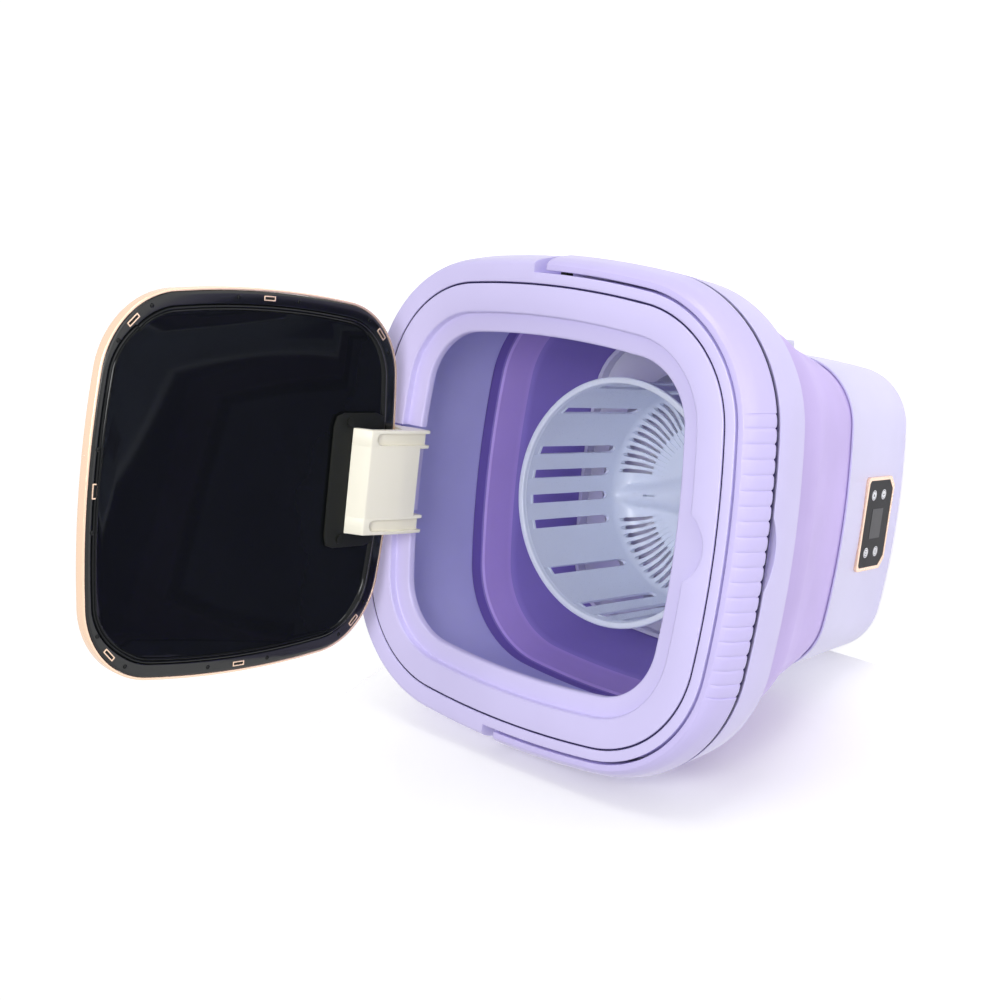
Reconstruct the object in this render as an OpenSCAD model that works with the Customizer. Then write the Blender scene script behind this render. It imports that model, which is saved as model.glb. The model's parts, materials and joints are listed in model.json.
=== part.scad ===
// Collapsible square tub washer with a hinged lid, a carrying bail and a spin basket.
// Upright frame: +Z up, front (control panel, grip) towards -Y, lid hinge towards +Y.
// The origin is the centre of the plane that the feet stand on.

/* [Plan shape] */
// Half width of the top ring; every outline is an offset of this rounded square
ring_half = 145; // [135:1:155]
// How far each corner's centre lies inside the ring's side
corner_inset = 77; // [70:1:84]
// Radius of the gently bulged sides of the ring
side_radius = 648; // [500:10:900]

/* [Heights] */
// Height of the rubber feet below the base
foot_h = 3; // [2:0.5:5]
// Height of the rigid base
base_h = 96; // [90:1:110]
// Height of the soft folding wall between the base and the skirt
fold_h = 141; // [138:1:160]
// Height of the rim frame from its lower edge to its top
skirt_h = 62; // [58:1:72]
// Height of the wall's main fold above the base
fold_rise = 100; // [80:1:115]

/* [Rim frame] */
// Width of the flat border between the ring and the handle seat
border_w = 7; // [6:0.5:9]
// Width of the frame's deck behind the handle's ends
deck_w = 14; // [12:0.5:15]
// Wall thickness of the frame, the ring and the base
wall = 2.5; // [2:0.1:3]
// Flare of the skirt from the deck to its lower edge
skirt_flare = 2; // [0:0.5:3]
// Depth of the seat that the folded handle lies in
seat_depth = 27; // [25:0.5:30]
// Gap between the ring and the frame
ring_gap = 0.4; // [0.3:0.1:0.8]

/* [Top ring] */
// Width of the raised border of the ring
ring_border = 20.2; // [17:0.2:22]
// Width of the ledge that the lid lies on
ledge_w = 12.8; // [10:0.2:14]
// Depth of the lid's recess
recess_depth = 6; // [5:0.5:8]
// Height of the lip that hangs below the ledge
lip_h = 6; // [4:0.5:7]
// Radius of the finger notch at the front of the recess
notch_r = 24; // [18:1:28]
// How far the finger notch reaches into the border
notch_reach = 11; // [8:1:13]

/* [Lid] */
// Gap between the lid's edge and the wall of its recess
lid_gap = 1.8; // [1.2:0.1:2.5]
// Thickness of the lid, trim included
lid_t = 8; // [7:0.5:9]
// Width of the metal-look trim round the lid
trim_w = 1.8; // [1.2:0.2:2.5]
// Thickness of the soft seal under the lid
seal_t = 1; // [0.6:0.1:1.5]
// Height of the splash rib inside the lid
rib_h = 4; // [2:0.5:5]
// Opening angle of the lid as modelled
lid_open = 89; // [0:1:95]

/* [Hinge] */
// Distance of the hinge pin behind the lid's rear edge
pin_back = 5.5; // [5:0.1:6.5]
// Height of the hinge pin above the rim
pin_up = 6.5; // [6:0.1:8]
// Radius of the hinge pin
pin_r = 2; // [1.5:0.1:2.2]
// Radius of the knuckles round the hinge pin
knuckle_r = 4.6; // [4.2:0.1:5]
// Overall width of the hinge bracket
bracket_w = 72; // [64:1:80]
// Width of each hinge arm
arm_w = 11; // [9:0.5:13]
// How far the bracket reaches over the lid
bracket_reach = 46; // [40:1:50]
// Depth of the bracket below the lid's inner face
bracket_depth = 20; // [18:0.5:21]

/* [Handle] */
// Gap between the handle and its seat
handle_gap = 1; // [0.9:0.1:1.4]
// Width of the handle's top face
handle_top_w = 5; // [4:0.5:7]
// Width of the handle at its lower edge
handle_low_w = 12.4; // [10:0.2:13]
// Distance of the handle's pivot behind the middle of the machine
pivot_back = 2; // [0:0.5:4]
// Distance from the pivot to the handle's cut end
handle_end = 7.3; // [6:0.1:8]
// Free length of the seat behind the handle's end
end_gap = 9.2; // [8.8:0.1:11]
// Radius of the handle's pivot pins
pivot_r = 4; // [3:0.5:5]

/* [Base] */
// How far the base's top edge lies inside the ring's side
base_inset = 26.4; // [24:0.2:30]
// How much narrower the base is at its foot, on each side
base_taper = 6.4; // [3:0.2:9]
// Thickness of the soft folding wall
skin_t = 2.4; // [2:0.1:3]

/* [Wash parts] */
// Outer radius of the spin basket's rim
basket_r = 88; // [82:1:90]
// Height of the spin basket
basket_h = 123; // [100:1:126]
// Wall thickness of the spin basket
basket_t = 2.2; // [1.8:0.1:3]
// Width of each basket slot
slot_w = 6; // [3:0.5:7]
// Length of each basket slot
slot_len = 88; // [50:1:90]
// Radius of the pulsator
pulsator_r = 72; // [60:1:78]
// Depth of the tub's round well below the base's top edge
well_depth = 26; // [24:0.5:28]
// Width of the tub's floor between the well and the wall
well_border = 15.25; // [14:0.25:17]

/* [Drive] */
// Gear module
gear_mod = 1.25; // [1:0.05:1.3]
// Teeth on the motor's pinion
pinion_n = 14; // [13:1:16]
// Teeth on the output gear
gear_n = 56; // [50:1:58]
// Radius of the output shaft
shaft_r = 5; // [4:0.5:6]
// Radius of the motor's can
motor_r = 19; // [15:1:21]

/* [Control panel] */
// Width of the panel's frame
panel_w = 69; // [60:1:76]
// Height of the panel's frame
panel_h = 46; // [40:1:52]
// Height of the panel's middle above the base's underside
panel_mid = 45; // [40:1:50]
// Chamfer on the panel's lower corners
panel_chamfer = 7; // [4:0.5:9]

/* [Ports] */
// Height of the drain spout above the base's underside
spout_up = 37; // [34:1:40]
// Height of the power inlet above the base's underside
jack_up = 30; // [20:1:40]
// Outer radius of the drain spout
spout_r = 8; // [6:0.5:9]
// Radius of the power inlet's bore
jack_r = 2.8; // [2.5:0.1:3.2]

/* [Hidden] */
$fn = 64;

running = 0.05;      // radial clearance of a shaft or a screw in its bore
soft_gap = 0.3;      // clearance of a piece from its seat where one of the two is soft or lifts off
shadow_gap = 0.4;    // gap between two shells that only face each other
over = 1;            // how far a cut runs past the face that it opens
far = 400;           // longer than the machine in every direction

lavender = [0.84, 0.80, 0.97];
pale = [0.87, 0.86, 0.98];
soft = [0.82, 0.75, 0.92];
cream = [0.95, 0.93, 0.87];
gloss_black = [0.05, 0.05, 0.07];
rose_gold = [0.93, 0.74, 0.62];
grey = [0.55, 0.55, 0.60];
white = [0.93, 0.94, 0.96];
steel = [0.75, 0.76, 0.78];

base_top = foot_h + base_h;
skirt_low = base_top + fold_h;
rim_z = skirt_low + skirt_h;

ring_half_out = ring_half - ring_gap;
ledge_half = ring_half - ring_border;
open_half = ledge_half - ledge_w;
seat_half = ring_half + border_w;
deck_half = ring_half + deck_w;
skirt_half = deck_half + skirt_flare;
ledge_z = rim_z - recess_depth;

// ---------- plan outline: a square with bulged sides and round corners ----------

side_centre = side_radius - ring_half;
corner_c = (sqrt(2 * pow(side_radius - corner_inset, 2) - pow(side_centre, 2)) - side_centre) / 2;
corner_angle = atan2(corner_c, corner_c + side_centre);
side_steps = 3;
corner_steps = 8;

// angles of one quarter, each with the centre and radius of the arc that it lies on
function quarter(half) =
    let (rs = half + side_centre, rc = half - ring_half + corner_inset)
    [
        for (i = [0 : side_steps - 1])
            let (t = corner_angle * i / side_steps) [rs * cos(t) - side_centre, rs * sin(t)],
        for (i = [0 : corner_steps - 1])
            let (t = corner_angle + (90 - 2 * corner_angle) * i / corner_steps)
            [corner_c + rc * cos(t), corner_c + rc * sin(t)],
        for (i = [0 : side_steps - 1])
            let (t = 90 - corner_angle + corner_angle * i / side_steps)
            [rs * cos(t), rs * sin(t) - side_centre]
    ];

function turned(points, quarters) =
    quarters == 0 ? points : turned([for (p = points) [-p[1], p[0]]], quarters - 1);

function outline(half) =
    let (q = quarter(half)) concat(q, turned(q, 1), turned(q, 2), turned(q, 3));

module slab(half, z0, z1)
    translate([0, 0, z0]) linear_extrude(z1 - z0) polygon(outline(half));

module ring(outer, inner, z0, z1)
    difference() {
        slab(outer, z0, z1);
        slab(inner, z0 - over, z1 + over);
    }

// a stack of outlines, each [half width, height], joined into one closed skin
module loft(levels) {
    n = len(outline(ring_half));
    last = len(levels) - 1;
    polyhedron(
        points = [for (l = levels) for (p = outline(l[0])) [p[0], p[1], l[1]]],
        faces = concat(
            [[for (i = [0 : n - 1]) i]],
            [[for (i = [n - 1 : -1 : 0]) last * n + i]],
            [for (k = [0 : last - 1]) for (i = [0 : n - 1])
                let (j = (i + 1) % n) [k * n + i, (k + 1) * n + i, (k + 1) * n + j, k * n + j]]
        )
    );
}

// ---------- small fasteners ----------

screw_r = 1.6;
screw_hole_r = screw_r + running;
screw_head_r = 3;
screw_head_h = 2;
head_room = 0.3;     // clearance round and under a sunk screw head

// a pan-head screw whose shank points along -Z from the origin
module screw(length)
    union() {
        cylinder(r = screw_head_r, h = screw_head_h);
        translate([0, 0, -length]) cylinder(r = screw_r, h = length + screw_head_h);
    }

// ---------- base ----------

base_half = ring_half - base_inset;
foot_half = base_half - base_taper;
edge_round = 8;
edge_steps = 4;
cover_t = 3;
cover_gap = 0.4;
floor_z = foot_h;

function base_half_at(z) = foot_half + base_taper * (z - floor_z) / base_h;

// quarter-round lower edge, then the straight tapered wall
function base_levels(inset, top) = concat(
    [for (i = [0 : edge_steps - 1]) let (t = 90 * i / edge_steps)
        [base_half_at(floor_z + edge_round) - inset - edge_round * (1 - sin(t)),
         floor_z + edge_round * (1 - cos(t))]],
    [[base_half_at(floor_z + edge_round) - inset, floor_z + edge_round], [base_half - inset, top]]
);

panel_z = floor_z + panel_mid;
panel_tilt = atan2(base_taper, base_h);
panel_t = 2;
panel_seat = 1;
panel_fit = 0.2;
wire_hole_r = 6;
spout_z = floor_z + spout_up;
spout_y = -14;
spout_out = 6;
cup_room = 6;        // width of the recess round the spout
cup_r = spout_r + cup_room;
cup_depth = 12;
cup_fit = 0.2;
jack_z = floor_z + jack_up;
jack_body_r = 6;
jack_fit = 0.2;
jack_len = 12;
jack_flange_r = jack_body_r + 1.5;
jack_sink = 0.6;     // depth of the flat that the inlet's flange sits on
cover_half = foot_half - edge_round - 1;

module at_panel()
    translate([0, -base_half_at(panel_z), panel_z]) rotate([90 + panel_tilt, 0, 0]) children();

// +Z of the children points out of the rear wall at the power inlet
module at_jack() translate([0, base_half_at(jack_z), jack_z]) rotate([-90, 0, 0]) children();

// +Z of the children points out of the right-hand wall at the drain spout
module at_spout() translate([base_half_at(spout_z), spout_y, spout_z]) rotate([0, 90, 0]) children();

module panel_outline(grow)
    let (w = panel_w / 2 + grow, h = panel_h / 2 + grow, c = panel_chamfer, r = 2)
    polygon([[-w + c, -h], [w - c, -h], [w, -h + c], [w, h - r], [w - r, h],
             [-w + r, h], [-w, h - r], [-w, -h + c]]);

module base_shell()
    color(pale) difference() {
        loft(base_levels(0, base_top));
        loft([[base_half_at(floor_z) - edge_round - wall, floor_z + cover_t],
              [base_half_at(floor_z + edge_round) - wall, floor_z + edge_round],
              [base_half - wall, base_top + 1]]);
        slab(cover_half + cover_gap, floor_z - 1, floor_z + cover_t + 1);
        at_panel() translate([0, 0, -panel_seat]) linear_extrude(far) panel_outline(panel_fit);
        at_panel() translate([0, 0, -jack_len]) cylinder(r = wire_hole_r, h = jack_len);
        at_spout() translate([0, 0, -cup_depth]) cylinder(r = cup_r, h = 2 * cup_depth);
        at_jack() translate([0, 0, -jack_len]) cylinder(r = jack_body_r, h = 2 * jack_len);
        at_jack() translate([0, 0, -jack_sink]) cylinder(r = jack_flange_r + jack_fit, h = jack_len);
    }

foot_r = 9;
foot_plug_r = foot_r - 3;
foot_in = 14;
foot_at = cover_half - foot_r - foot_in;
post_screw_len = 8;
vent_n = 7;
vent_pitch = 7;
vent_w = 2.4;
vent_len = 30;

module four_corners(at) for (x = [-1, 1], y = [-1, 1]) translate([x * at, y * at, 0]) children();

module bottom_cover()
    color(pale) difference() {
        slab(cover_half, floor_z, floor_z + cover_t);
        translate([0, 0, floor_z - over]) {
            four_corners(foot_at) cylinder(r = foot_plug_r + running, h = cover_t + 2 * over);
            at_posts() cylinder(r = screw_hole_r, h = cover_t + 2 * over);
            at_posts() cylinder(r = screw_head_r + head_room, h = over + screw_head_h + head_room);
            for (i = [0 : vent_n - 1])
                translate([-vent_len / 2, (i - (vent_n - 1) / 2) * vent_pitch - vent_w / 2, 0])
                    cube([vent_len, vent_w, cover_t + 2 * over]);
        }
    }

module feet()
    color([0.25, 0.25, 0.28]) four_corners(foot_at) union() {
        cylinder(r = foot_r, h = foot_h);
        cylinder(r = foot_plug_r, h = foot_h + cover_t);
    }

module cover_screws()
    color(steel) at_posts()
        translate([0, 0, floor_z + screw_head_h + head_room]) mirror([0, 0, 1]) screw(post_screw_len);

// ---------- lower tub and the drive ----------

floor_drop = 4;      // how far the tub's floor lies below the base's top edge
tub_floor = base_top - floor_drop;
tub_half = base_half_at(tub_floor - wall) - wall - shadow_gap;
well_r = tub_half - well_border;
well_floor = base_top - well_depth;
post_r = 5;
post_gap = 3.5;
post_dist = well_r + wall + post_r + post_gap;
bearing_r = 11;
bearing_t = 7;
bore_r = bearing_r - 2;    // the bore above a bearing is narrower, so that the bearing seats on a step
boss_r = bearing_r + 4;
boss_drop = 15;      // how far the upper bearing's boss hangs below the well
boss_low = well_floor - boss_drop;
seal_h = 5;
gear_t = 8;
gear_hub = 2;        // how far the gear's hub stands above its teeth
hub_gap = 1;         // between the gear's hub and the upper bearing
gear_gap = 4;        // between the gear and the floor of its box
gear_z = boss_low - hub_gap - gear_hub - gear_t;
box_wall = 2.5;
box_floor = gear_z - gear_gap - box_wall;
box_top = well_floor - wall;
box_h = box_top - box_floor;
gear_c = gear_mod * (gear_n + pinion_n) / 2;
gear_room = gear_mod * (gear_n / 2 + 1) + 3;
pinion_room = gear_mod * (pinion_n / 2 + 1) + 6;
lug_r = 5;
lug_h = 8;
lug_dist = gear_room + lug_r + 1;
low_boss_h = 9;

module at_posts() for (a = [34, 146, 214, 326]) rotate(a) translate([post_dist, 0, 0]) children();
module at_lugs() for (a = [60 : 60 : 300]) rotate(a) translate([lug_dist, 0, 0]) children();

drain_in = 12;       // distance of the drain from the well's wall
drain_x = well_r - drain_in;
drain_rim = 3;       // seat of the pipe round the drain's hole
drain_hole_r = spout_r - drain_rim;

module lower_tub()
    color(grey) difference() {
        union() {
            ring(tub_half, tub_half - wall, tub_floor - wall, base_top - 1);
            difference() {
                slab(tub_half - wall / 2, tub_floor - wall, tub_floor);
                translate([0, 0, well_floor]) cylinder(r = well_r, h = far);
            }
            difference() {
                translate([0, 0, well_floor - wall])
                    cylinder(r = well_r + wall, h = tub_floor - well_floor + wall);
                translate([0, 0, well_floor]) cylinder(r = well_r, h = far);
            }
            translate([0, 0, boss_low]) cylinder(r = boss_r, h = well_floor - boss_low);
            at_posts() translate([0, 0, floor_z + cover_t])
                cylinder(r = post_r, h = tub_floor - floor_z - cover_t - wall / 2);
        }
        translate([0, 0, boss_low - over]) cylinder(r = bearing_r + running, h = bearing_t + over);
        translate([0, 0, boss_low]) cylinder(r = bore_r, h = far);
        at_posts() translate([0, 0, floor_z]) cylinder(r = screw_hole_r, h = 14);
        at_lugs() translate([0, 0, box_top - over]) cylinder(r = screw_hole_r, h = wall);
        translate([drain_x, spout_y, 0]) cylinder(r = drain_hole_r, h = far);
    }

module gearbox_housing()
    color([0.35, 0.35, 0.40]) difference() {
        union() {
            translate([0, 0, box_floor]) cylinder(r = gear_room + box_wall, h = box_h);
            translate([gear_c, 0, box_floor]) cylinder(r = pinion_room + box_wall, h = box_h);
            at_lugs() translate([0, 0, box_top - lug_h]) cylinder(r = lug_r, h = lug_h);
            translate([0, 0, box_floor - low_boss_h]) cylinder(r = boss_r, h = low_boss_h + box_wall);
        }
        translate([0, 0, box_floor + box_wall]) cylinder(r = gear_room, h = box_h);
        translate([gear_c, 0, box_floor + box_wall]) cylinder(r = pinion_room, h = box_h);
        translate([0, 0, low_bearing_z]) cylinder(r = bearing_r + running, h = box_h);
        translate([0, 0, box_floor - low_boss_h - over]) cylinder(r = shaft_r + 1, h = box_h);
        translate([gear_c, 0, box_floor - over]) cylinder(r = motor_neck_r + running, h = box_h);
        at_lugs() translate([0, 0, box_floor - over]) cylinder(r = screw_hole_r, h = box_h + 2 * over);
    }

module gearbox_screws()
    color(steel) at_lugs() translate([0, 0, box_top - lug_h])
        mirror([0, 0, 1]) screw(lug_h + wall / 2);

low_bearing_z = box_floor - low_boss_h + 2;    // the lower bearing stands on a 2 mm ledge

module bearing(z)
    translate([0, 0, z]) difference() {
        cylinder(r = bearing_r, h = bearing_t);
        translate([0, 0, -over]) cylinder(r = shaft_r + running, h = bearing_t + 2 * over);
    }

module shaft_bearings()
    color(steel) union() {
        bearing(low_bearing_z);
        bearing(boss_low);
    }

module shaft_seal()
    color([0.2, 0.2, 0.2]) translate([0, 0, boss_low + bearing_t]) difference() {
        cylinder(r = bore_r, h = seal_h);
        translate([0, 0, -over]) cylinder(r = shaft_r + running, h = seal_h + 2 * over);
    }

// involute gear outline; teeth are a little thin so that meshed flanks keep clear
pressure = 25;
thinning = 0.12;
flank_steps = 3;
addendum = 0.9;
dedendum = 1.15;
function inv(a) = tan(a) * 180 / PI - a;
// half the angle that a tooth spans at radius r, from its half angle at the base circle
function flank(base_angle, rb, r) = base_angle - inv(acos(min(1, rb / r)));
function gear_points(n) =
    let (rp = gear_mod * n / 2, rb = rp * cos(pressure), ra = rp + addendum * gear_mod,
         rf = rp - dedendum * gear_mod, low = max(rb, rf + 0.05),
         base_angle = 90 / n - thinning / rp * 90 / PI + inv(pressure),
         steps = [for (i = [0 : flank_steps]) low + (ra - low) * i / flank_steps],
         root = flank(base_angle, rb, max(rb, rf)))
    [for (k = [0 : n - 1]) let (mid = 360 * k / n) each concat(
        [[rf, mid - root]],
        [for (r = steps) [r, mid - flank(base_angle, rb, r)]],
        [for (i = [flank_steps : -1 : 0]) [steps[i], mid + flank(base_angle, rb, steps[i])]],
        [[rf, mid + root]]
    )];

module gear_shape(n) polygon([for (p = gear_points(n)) [p[0] * cos(p[1]), p[0] * sin(p[1])]]);

module output_gear()
    color(white) translate([0, 0, gear_z]) difference() {
        union() {
            linear_extrude(gear_t) gear_shape(gear_n);
            cylinder(r = shaft_r + 4, h = gear_t + gear_hub);
        }
        translate([0, 0, -over]) cylinder(r = shaft_r + running, h = box_h);
    }

motor_room = 3.5;    // between the motor and the bottom cover
motor_foot = floor_z + cover_t + motor_room;
motor_h = box_floor - motor_foot;
motor_neck_r = 6;
rotor_r = 1.6;
rotor_in = 10;       // how far the rotor's shaft reaches into the motor
pinion_base = gear_z - 1;
pinion_t = gear_t + 2;

module motor()
    color(steel) translate([gear_c, 0, box_floor]) difference() {
        union() {
            translate([0, 0, -motor_h]) cylinder(r = motor_r, h = motor_h);
            cylinder(r = motor_neck_r, h = box_wall);
        }
        translate([0, 0, -rotor_in - 2]) cylinder(r = rotor_r + running, h = box_h);
    }

module motor_pinion()
    color([0.8, 0.7, 0.4]) translate([gear_c, 0, 0]) union() {
        translate([0, 0, box_floor - rotor_in])
            cylinder(r = rotor_r, h = pinion_base - box_floor + rotor_in + over);
        translate([0, 0, pinion_base]) rotate(180 + 180 / pinion_n)
            linear_extrude(pinion_t) gear_shape(pinion_n);
    }

// ---------- pulsator and spin basket ----------

disc_gap = 3;        // between the pulsator and the floor of the well
pulsator_z = well_floor + disc_gap;
disc_t = 4;
vane_h = 6;
vane_w = 8;
vane_end = 5;        // how far a vane stops inside the pulsator's edge
hub_r = 12;
basket_up = 16;      // height of the basket above the floor of the well
basket_low = well_floor + basket_up;
basket_top = basket_low + basket_h;
hub_top = basket_low - soft_gap;
stud_r = shaft_r - 1.5;
stud_h = 4.5;
nut_r = 8;
nut_h = 3.5;

module output_shaft()
    color(steel) union() {
        translate([0, 0, low_bearing_z]) cylinder(r = shaft_r, h = hub_top - low_bearing_z);
        translate([0, 0, hub_top]) cylinder(r = stud_r, h = stud_h);
    }

module pulsator()
    color(grey) difference() {
        union() {
            translate([0, 0, pulsator_z]) cylinder(r = pulsator_r, h = disc_t);
            translate([0, 0, pulsator_z]) cylinder(r = hub_r, h = hub_top - pulsator_z);
            for (a = [0 : 120 : 240]) rotate(a) translate([hub_r / 2, -vane_w / 2, pulsator_z])
                cube([pulsator_r - vane_end - hub_r / 2, vane_w, disc_t + vane_h]);
        }
        translate([0, 0, pulsator_z - over]) cylinder(r = shaft_r + running, h = far);
    }

// nut that clamps the pulsator down on the shaft's stud
module pulsator_nut()
    color(steel) translate([0, 0, hub_top]) difference() {
        cylinder(r = nut_r, h = nut_h);
        translate([0, 0, -over]) cylinder(r = stud_r + running, h = nut_h + 2 * over);
    }

slot_places = 28;    // equal places round the wall; of every seven, the fifth and the last have no slot
slot_pitch = 360 / slot_places;
slot_up = 23;
slot_z = basket_low + slot_up;
rim_t = 4;
basket_turn = 2.5;   // angle that the basket rests at
fan_turn = basket_turn + 7;
basket_wall_r = basket_r - 3;
basket_hub_r = hub_r + 6;
basket_hub_h = 9;
nut_room = nut_r + 0.5;
drain_slot_w = 2;
drain_slot_in = 50;
drain_slot_out = 79;
drain_slot_pitch = 4.8;
drain_slot_last = 16;      // slots on each side of a fan's middle one
ridge_w = 12;        // ridge across the floor between the two fans
ridge_h = 6;

module wall_slot()
    translate([basket_wall_r - 2 * basket_t, -slot_w / 2, slot_z]) cube([4 * basket_t, slot_w, slot_len]);

module basket_slots()
    for (q = [0 : 3]) rotate(q * 90 + basket_turn) {
        for (k = [-1.5 : 1.5]) rotate(k * slot_pitch) wall_slot();
        rotate(45) wall_slot();
    }

// two fans of drain slots in the basket's floor
module floor_slots()
    for (side = [0, 180], k = [-drain_slot_last : drain_slot_last])
        rotate(side + k * drain_slot_pitch + fan_turn)
            translate([drain_slot_in, -drain_slot_w / 2, basket_low - over])
                cube([drain_slot_out - drain_slot_in, drain_slot_w, basket_hub_h]);

module spin_basket()
    color(white) difference() {
        union() {
            difference() {
                translate([0, 0, basket_low]) cylinder(r = basket_wall_r, h = basket_h - over);
                translate([0, 0, basket_low + basket_t]) cylinder(r = basket_wall_r - basket_t, h = basket_h);
            }
            translate([0, 0, basket_top - rim_t]) difference() {
                cylinder(r = basket_r, h = rim_t);
                translate([0, 0, -over]) cylinder(r = basket_wall_r - basket_t - 0.6, h = rim_t + 2 * over);
            }
            translate([0, 0, basket_low]) cylinder(r = basket_hub_r, h = basket_hub_h);
            rotate(fan_turn) translate([-ridge_w / 2, basket_t - basket_wall_r, basket_low])
                cube([ridge_w, 2 * (basket_wall_r - basket_t), ridge_h]);
        }
        basket_slots();
        floor_slots();
        translate([0, 0, basket_low - over]) cylinder(r = nut_room, h = over + basket_hub_h - basket_t);
    }

// ---------- control panel and electrics ----------

glass_inset = 2.4;
frame_proud = 1;
key_r = 3.4;
key_x = panel_w / 2 - 13;
key_y = 8.5;
key_up = 2;          // how far the keys' middle lies above the panel's
print_t = 0.15;      // thickness of the display window and the key marks
glass_face = frame_proud - 0.3;
board_back = 11;
board_t = 1.6;
board_w = 60;
board_h = 36;

module panel_frame()
    color(rose_gold) at_panel() translate([0, 0, -panel_seat]) difference() {
        linear_extrude(panel_seat + frame_proud) panel_outline(0);
        translate([0, 0, -over]) linear_extrude(far) panel_outline(-glass_inset);
    }

module panel_glass()
    color(gloss_black) at_panel() translate([0, 0, -panel_seat])
        linear_extrude(panel_seat + glass_face) panel_outline(-glass_inset - running);

display_w = 22;
display_h = 18;

module panel_display()
    color([0.2, 0.22, 0.25]) at_panel() translate([-display_w / 2, -display_h / 2, glass_face])
        cube([display_w, display_h, print_t]);

module touch_keys()
    color(white) at_panel() for (x = [-1, 1], y = [-1, 1])
        translate([x * key_x, y * key_y + key_up, glass_face]) cylinder(r = key_r, h = print_t);

spacer_r = 3;
spacer_x = board_w / 2 - 6;
spacer_y = board_h / 2 - 4;
// the wall bulges, so its inner face lies a little deeper at the spacers than at the panel's middle
spacer_sag = pow(spacer_x + spacer_r, 2) / (2 * side_radius);
spacer_h = board_back - wall - spacer_sag - soft_gap;

module board_spacers()
    color(pale) at_panel() for (x = [-1, 1], y = [-1, 1])
        translate([x * spacer_x, y * spacer_y, -board_back]) cylinder(r = spacer_r, h = spacer_h);

module control_board()
    color([0.1, 0.4, 0.2]) at_panel() {
        chip = [16, 12, 5];
        display_block = [24, 20, 3];
        capacitor = [5, 9];
        translate([-board_w / 2, -board_h / 2, -board_back - board_t]) cube([board_w, board_h, board_t]);
        translate([-chip[0], -chip[1], -board_back - board_t - chip[2]]) cube(chip);
        translate([capacitor[0] + 3, -chip[1], -board_back - board_t - capacitor[1]])
            cylinder(r = capacitor[0], h = capacitor[1]);
        translate([-display_block[0] / 2, -display_block[1] / 2, -board_back]) cube(display_block);
    }

module power_inlet()
    color([0.15, 0.15, 0.17]) at_jack() difference() {
        union() {
            translate([0, 0, -jack_sink]) cylinder(r = jack_flange_r, h = 2 * jack_sink);
            translate([0, 0, -jack_len]) cylinder(r = jack_body_r - jack_fit, h = jack_len);
        }
        translate([0, 0, -jack_len + 2]) cylinder(r = jack_r, h = 2 * jack_len);
    }

// drain elbow: a cup in the wall, a spout along +X and a pipe up to the tub's well
spout_face = base_half_at(spout_z);
cup_wall = 2;
cup_sink = 1.2;      // how far the cup's edge lies inside the wall's face
pipe_r = spout_r - 2;

module drain_spout()
    color(grey) translate([0, spout_y, spout_z]) difference() {
        union() {
            difference() {
                translate([spout_face - cup_depth - cup_sink, 0, 0]) rotate([0, 90, 0])
                    cylinder(r = cup_r - cup_fit, h = cup_depth);
                translate([spout_face - cup_depth - cup_sink + cup_wall, 0, 0]) rotate([0, 90, 0])
                    cylinder(r = cup_r - cup_fit - cup_wall, h = cup_depth);
            }
            translate([drain_x, 0, 0]) rotate([0, 90, 0])
                cylinder(r = spout_r, h = spout_face + spout_out - drain_x);
            translate([drain_x, 0, -spout_r])
                cylinder(r = spout_r, h = well_floor - wall - spout_z + spout_r);
        }
        translate([drain_x, 0, 0]) rotate([0, 90, 0]) cylinder(r = pipe_r, h = far);
        translate([drain_x, 0, -pipe_r]) cylinder(r = pipe_r, h = far);
    }

cap_plug = 12;
cap_t = 2;

module drain_cap()
    color([0.4, 0.4, 0.45]) at_spout() translate([0, 0, spout_out]) union() {
        translate([0, 0, -cap_plug]) cylinder(r = pipe_r - running, h = cap_plug);
        cylinder(r = spout_r - shadow_gap, h = cap_t);
    }

// a lead: an eight-sided tube swept along a route that stays roughly level
lead_r = 1.4;
lead_end_y = board_back + board_t + soft_gap - base_half_at(panel_z) + board_h * sin(panel_tilt) / 2;
lead_end_z = panel_z - board_h / 3;
lead_straight = 5;   // straight stretch at each end of a lead
lead_jack_y = base_half_at(jack_z) - jack_len - soft_gap;
lead_motor_x = gear_c + motor_r + soft_gap;
lead_motor_z = motor_foot + 4.5;
lead_board = [[0, lead_jack_y, jack_z], [0, lead_jack_y - lead_straight, jack_z], [-4, 92, 22], [-18, 88, 11],
              [-44, 82, 9], [-78, 48, 9], [-90, 10, 9], [-84, -44, 9], [-60, -80, 9], [-36, -92, 18],
              [-22, lead_end_y + lead_straight, lead_end_z], [-22, lead_end_y, lead_end_z]];
lead_motor = [[lead_motor_x, 0, lead_motor_z], [lead_motor_x + lead_straight, 0, lead_motor_z],
              [76, -10, 10], [72, -40, 9], [46, -74, 9], [30, -90, 18],
              [22, lead_end_y + lead_straight, lead_end_z], [22, lead_end_y, lead_end_z]];

function unit(v) = v / norm(v);
module lead(route) {
    last = len(route) - 1;
    sides = 8;
    polyhedron(
        points = [for (i = [0 : last])
            let (d = unit(route[min(i + 1, last)] - route[max(i - 1, 0)]),
                 a = unit(cross(d, [0, 0.3, 1])), b = cross(d, a))
            for (s = [0 : sides - 1])
                route[i] + lead_r * (cos(s * 360 / sides) * a + sin(s * 360 / sides) * b)],
        faces = concat(
            [[for (s = [0 : sides - 1]) s]],
            [[for (s = [sides - 1 : -1 : 0]) last * sides + s]],
            [for (i = [0 : last - 1]) for (s = [0 : sides - 1]) let (t = (s + 1) % sides)
                [i * sides + s, (i + 1) * sides + s, (i + 1) * sides + t, i * sides + t]]
        )
    );
}

module wiring_harness()
    color([0.6, 0.1, 0.1]) {
        lead(lead_board);
        lead(lead_motor);
    }

// ---------- folding wall ----------

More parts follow.
